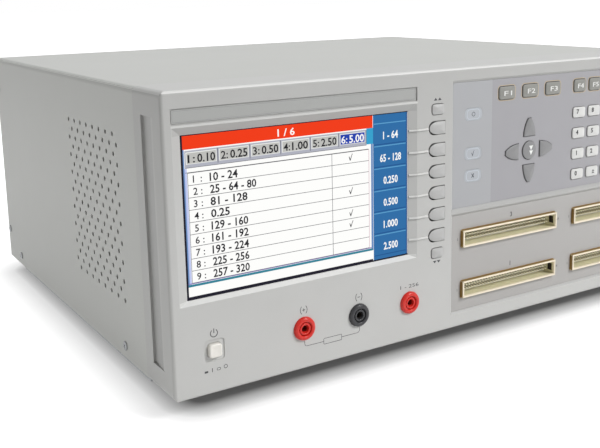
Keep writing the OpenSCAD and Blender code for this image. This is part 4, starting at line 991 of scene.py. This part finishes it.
side_places = [(77, 9.3), (BODY_D - 37, 9.3), (BODY_D - 5.4, 26.6), (BODY_D - 5.4, BODY_H - 26.6)]
screws = [screw((x, y, z), way, 6) for x, way in ((INSET, (-1, 0, 0)), (BODY_W - INSET, (1, 0, 0)))
          for y, z in side_places]
screws += [screw((x, FRAME_BACK, z), (0, 1, 0), 10) for x in (FRAME_SCREW_IN, BODY_W - FRAME_SCREW_IN)
           for z in (FRAME_SCREW_IN, BODY_H - FRAME_SCREW_IN)]
screws += [screw((x, y, -0.3), (0, 0, 1), 6) for x in (FOOT_X, BODY_W - FOOT_X) for y in FOOT_YS]
screws += [screw((INLET_X + side * 20, BODY_D + 2.5, INLET_Z), (0, 1, 0), 8) for side in (-1, 1)]
screws += [screw((FAN_X + dx, BODY_D, FAN_Z + dz), (0, 1, 0), 8)
           for dx in (-FAN_SCREW, FAN_SCREW) for dz in (-FAN_SCREW, FAN_SCREW)]
bright_zinc = plated("bright_zinc", srgb(140, 142, 144), 0.4)
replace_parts(piece("cross_head_screws", "case", "zinc_steel", screws, bright_zinc), "case_screws")


# The feet: four turned rubber buttons under the tray, each held by a screw up its middle. The rubber
# is dull black with a fine grain.
rubber_black = srgb(44, 44, 46)
sole = Finish("foot_rubber", rubber_black, 0.7)
sole.feed("Base Color", sole.mottle(rubber_black, 4 * MM, 0.12))
sole.feed("Roughness", 0.6 + 0.25 * sole.grain(0.5 * MM))
sole.relief(sole.grain(0.25 * MM), 0.03 * MM)
dress(sole.material, "feet")


# The back: a fan behind ring slots, a mains inlet with three blades, two D-shaped sockets and an
# earth stud. None of it shows in the photograph, so it is what such testers usually have.
fan_black = moulded("fan_black", srgb(40, 40, 43), 0.42, pits=0.5, edge=0.3)
dress(fan_black, "fan_housing", "fan_rotor")
dress(moulded("inlet_black", srgb(34, 34, 37), 0.36, pits=0.4, edge=0.3), "mains_inlet")
dress(plated("nickel_shells", srgb(190, 190, 188), 0.32), "rear_connectors")
blade_tips = [outline(box(INLET_X + dx, INLET_Z + dz, 2.1, 4.1), 0.3, 24)
              for dx, dz in ((-7, -2), (7, -2), (0, 2))]
blade_sides = [(0, BODY_D - 16.9), (0, BODY_D - 4.6), (0.5, BODY_D - 3.95)]
piece("inlet_blades", "case", "zinc_steel", [skin(carried(form, blade_sides)) for form in blade_tips],
      bright_zinc)
PORT_Z, PORT_HALF_H, PORT_TAPER, PORT_FACE = 60.0, 3.3, 1.8, BODY_D + 6
insert_sides = [(0, PORT_FACE - 0.1), (0, PORT_FACE + 0.15), (0.2, PORT_FACE + 0.25)]
contact_sides = [(inset, PORT_FACE + out) for inset, out in ((0, 0.2), (0, 0.35), (0.35, 0.35), (0.35, 0.2))]
inserts, contacts = [], []
for x, wide, holes in ((150.0, 39.0, 13), (215.0, 17.0, 5)):
    half = wide / 2 - 1.0
    low = half - PORT_TAPER
    shape = np.array([[x - low, PORT_Z - PORT_HALF_H], [x + low, PORT_Z - PORT_HALF_H],
                      [x + half, PORT_Z + PORT_HALF_H], [x - half, PORT_Z + PORT_HALF_H]])
    inserts.append(skin(carried(outline(shape, 0.8), insert_sides)))
    for row, count in ((1, holes), (-1, holes - 1)):
        for i in range(count):
            spot = circle(x + (i - (count - 1) / 2) * 2.76, PORT_Z + row * 1.42, 0.65, 20)
            contacts.append(skin(carried(spot, contact_sides), True))
piece("port_inserts", "case", "black_plastic", inserts, fan_black)
piece("port_contacts", "case", "contact_gold", contacts, gold.material)


# The studio: white paper under the case and a white room round it. A large soft box stands high on the
# right of the front, a second over the case's back, and a weak one low on the left. Near the case the
# paper is painted darker for the camera, which deepens the shadow that it keeps.
PAPER_HALF = 12.0
OTHER_RAYS = 0.17
SHADOW_IN_X, SHADOW_IN_Y = 28.0, 19.0


def looks(finish):
    """What camera, gloss and glass rays see, one signal for each."""
    kinds = ("Camera", "Glossy", "Transmission")
    return [finish.add("ShaderNodeLightPath", out=f"Is {kind} Ray") for kind in kinds]


class Sky(Finish):
    """The room's light: a world with one Background shader."""

    def __init__(self, name):
        self.material = bpy.data.worlds.new(name)
        self.material.use_nodes = True
        self.tree = self.material.node_tree
        self.shader = self.tree.nodes["Background"]


ground = bpy.data.meshes.new("studio_floor")
ground.from_pydata([(x * PAPER_HALF, y * PAPER_HALF, 0) for x, y in ((-1, -1), (1, -1), (1, 1), (-1, 1))],
                   [], [(0, 1, 2, 3)])
floor = bpy.data.objects.new("studio_floor", ground)
scene.collection.objects.link(floor)
paper = Finish("floor_paper", (0.62, 0.62, 0.62), 0.9)
away = 0
for k, half in enumerate((BODY_W / 2 - SHADOW_IN_X, BODY_D / 2 - SHADOW_IN_Y)):
    off = abs(paper.axis(k)) - half * MM
    away = off.maths("MAXIMUM", off, 0) ** 2 + away
away = away ** 0.5
# Beyond that inner line the paper turns white from 20 to 53 mm out, and its own light from 8 to 64 mm.
rays = looks(paper)
seen = paper.blend((away - 0.02) * 30, [0.2] * 3, [0.72] * 3)
paper.feed("Base Color", paper.blend(rays[0], [0.88] * 3, seen))
glow_near = paper.blend((away - 0.008) * 50, [0.05] * 3, [0.6] * 3)
paper.feed("Emission Color", paper.blend((away - 0.026) * 26, glow_near, [1.0] * 3))
paper.feed("Emission Strength", rays[0] + rays[1] + rays[2])
ground.materials.append(paper.material)

sky = Sky("studio_light")
scene.world = sky.material
strength = OTHER_RAYS
for ray in looks(sky):
    strength = ray.maths("MAXIMUM", ray, strength)
sky.feed("Strength", strength)
sky.feed("Color", (1, 1, 1, 1))


def softbox(name, place, aim, size, power, tint):
    """A square lamp at place, turned to look at aim."""
    lamp = bpy.data.lights.new(name, "AREA")
    lamp.size = size
    lamp.energy = power
    lamp.color = tint
    holder = bpy.data.objects.new(name, lamp)
    holder.location = place
    holder.rotation_euler = (Vector(aim) - Vector(place)).to_track_quat("-Z", "Y").to_euler()
    scene.collection.objects.link(holder)


softbox("key_box", (1.3, -2.0, 1.87), (0, 0, 0.1), 0.9, 63, (1, 1, 1))
softbox("left_box", (-1.8, -0.45, 0.12), (0, 0, 0.05), 1.2, 3.8, (1, 0.99, 0.94))
softbox("top_box", (0, 0.9, 2.4), (0, 0, 0.1), 1.5, 16, (0.97, 0.99, 1))
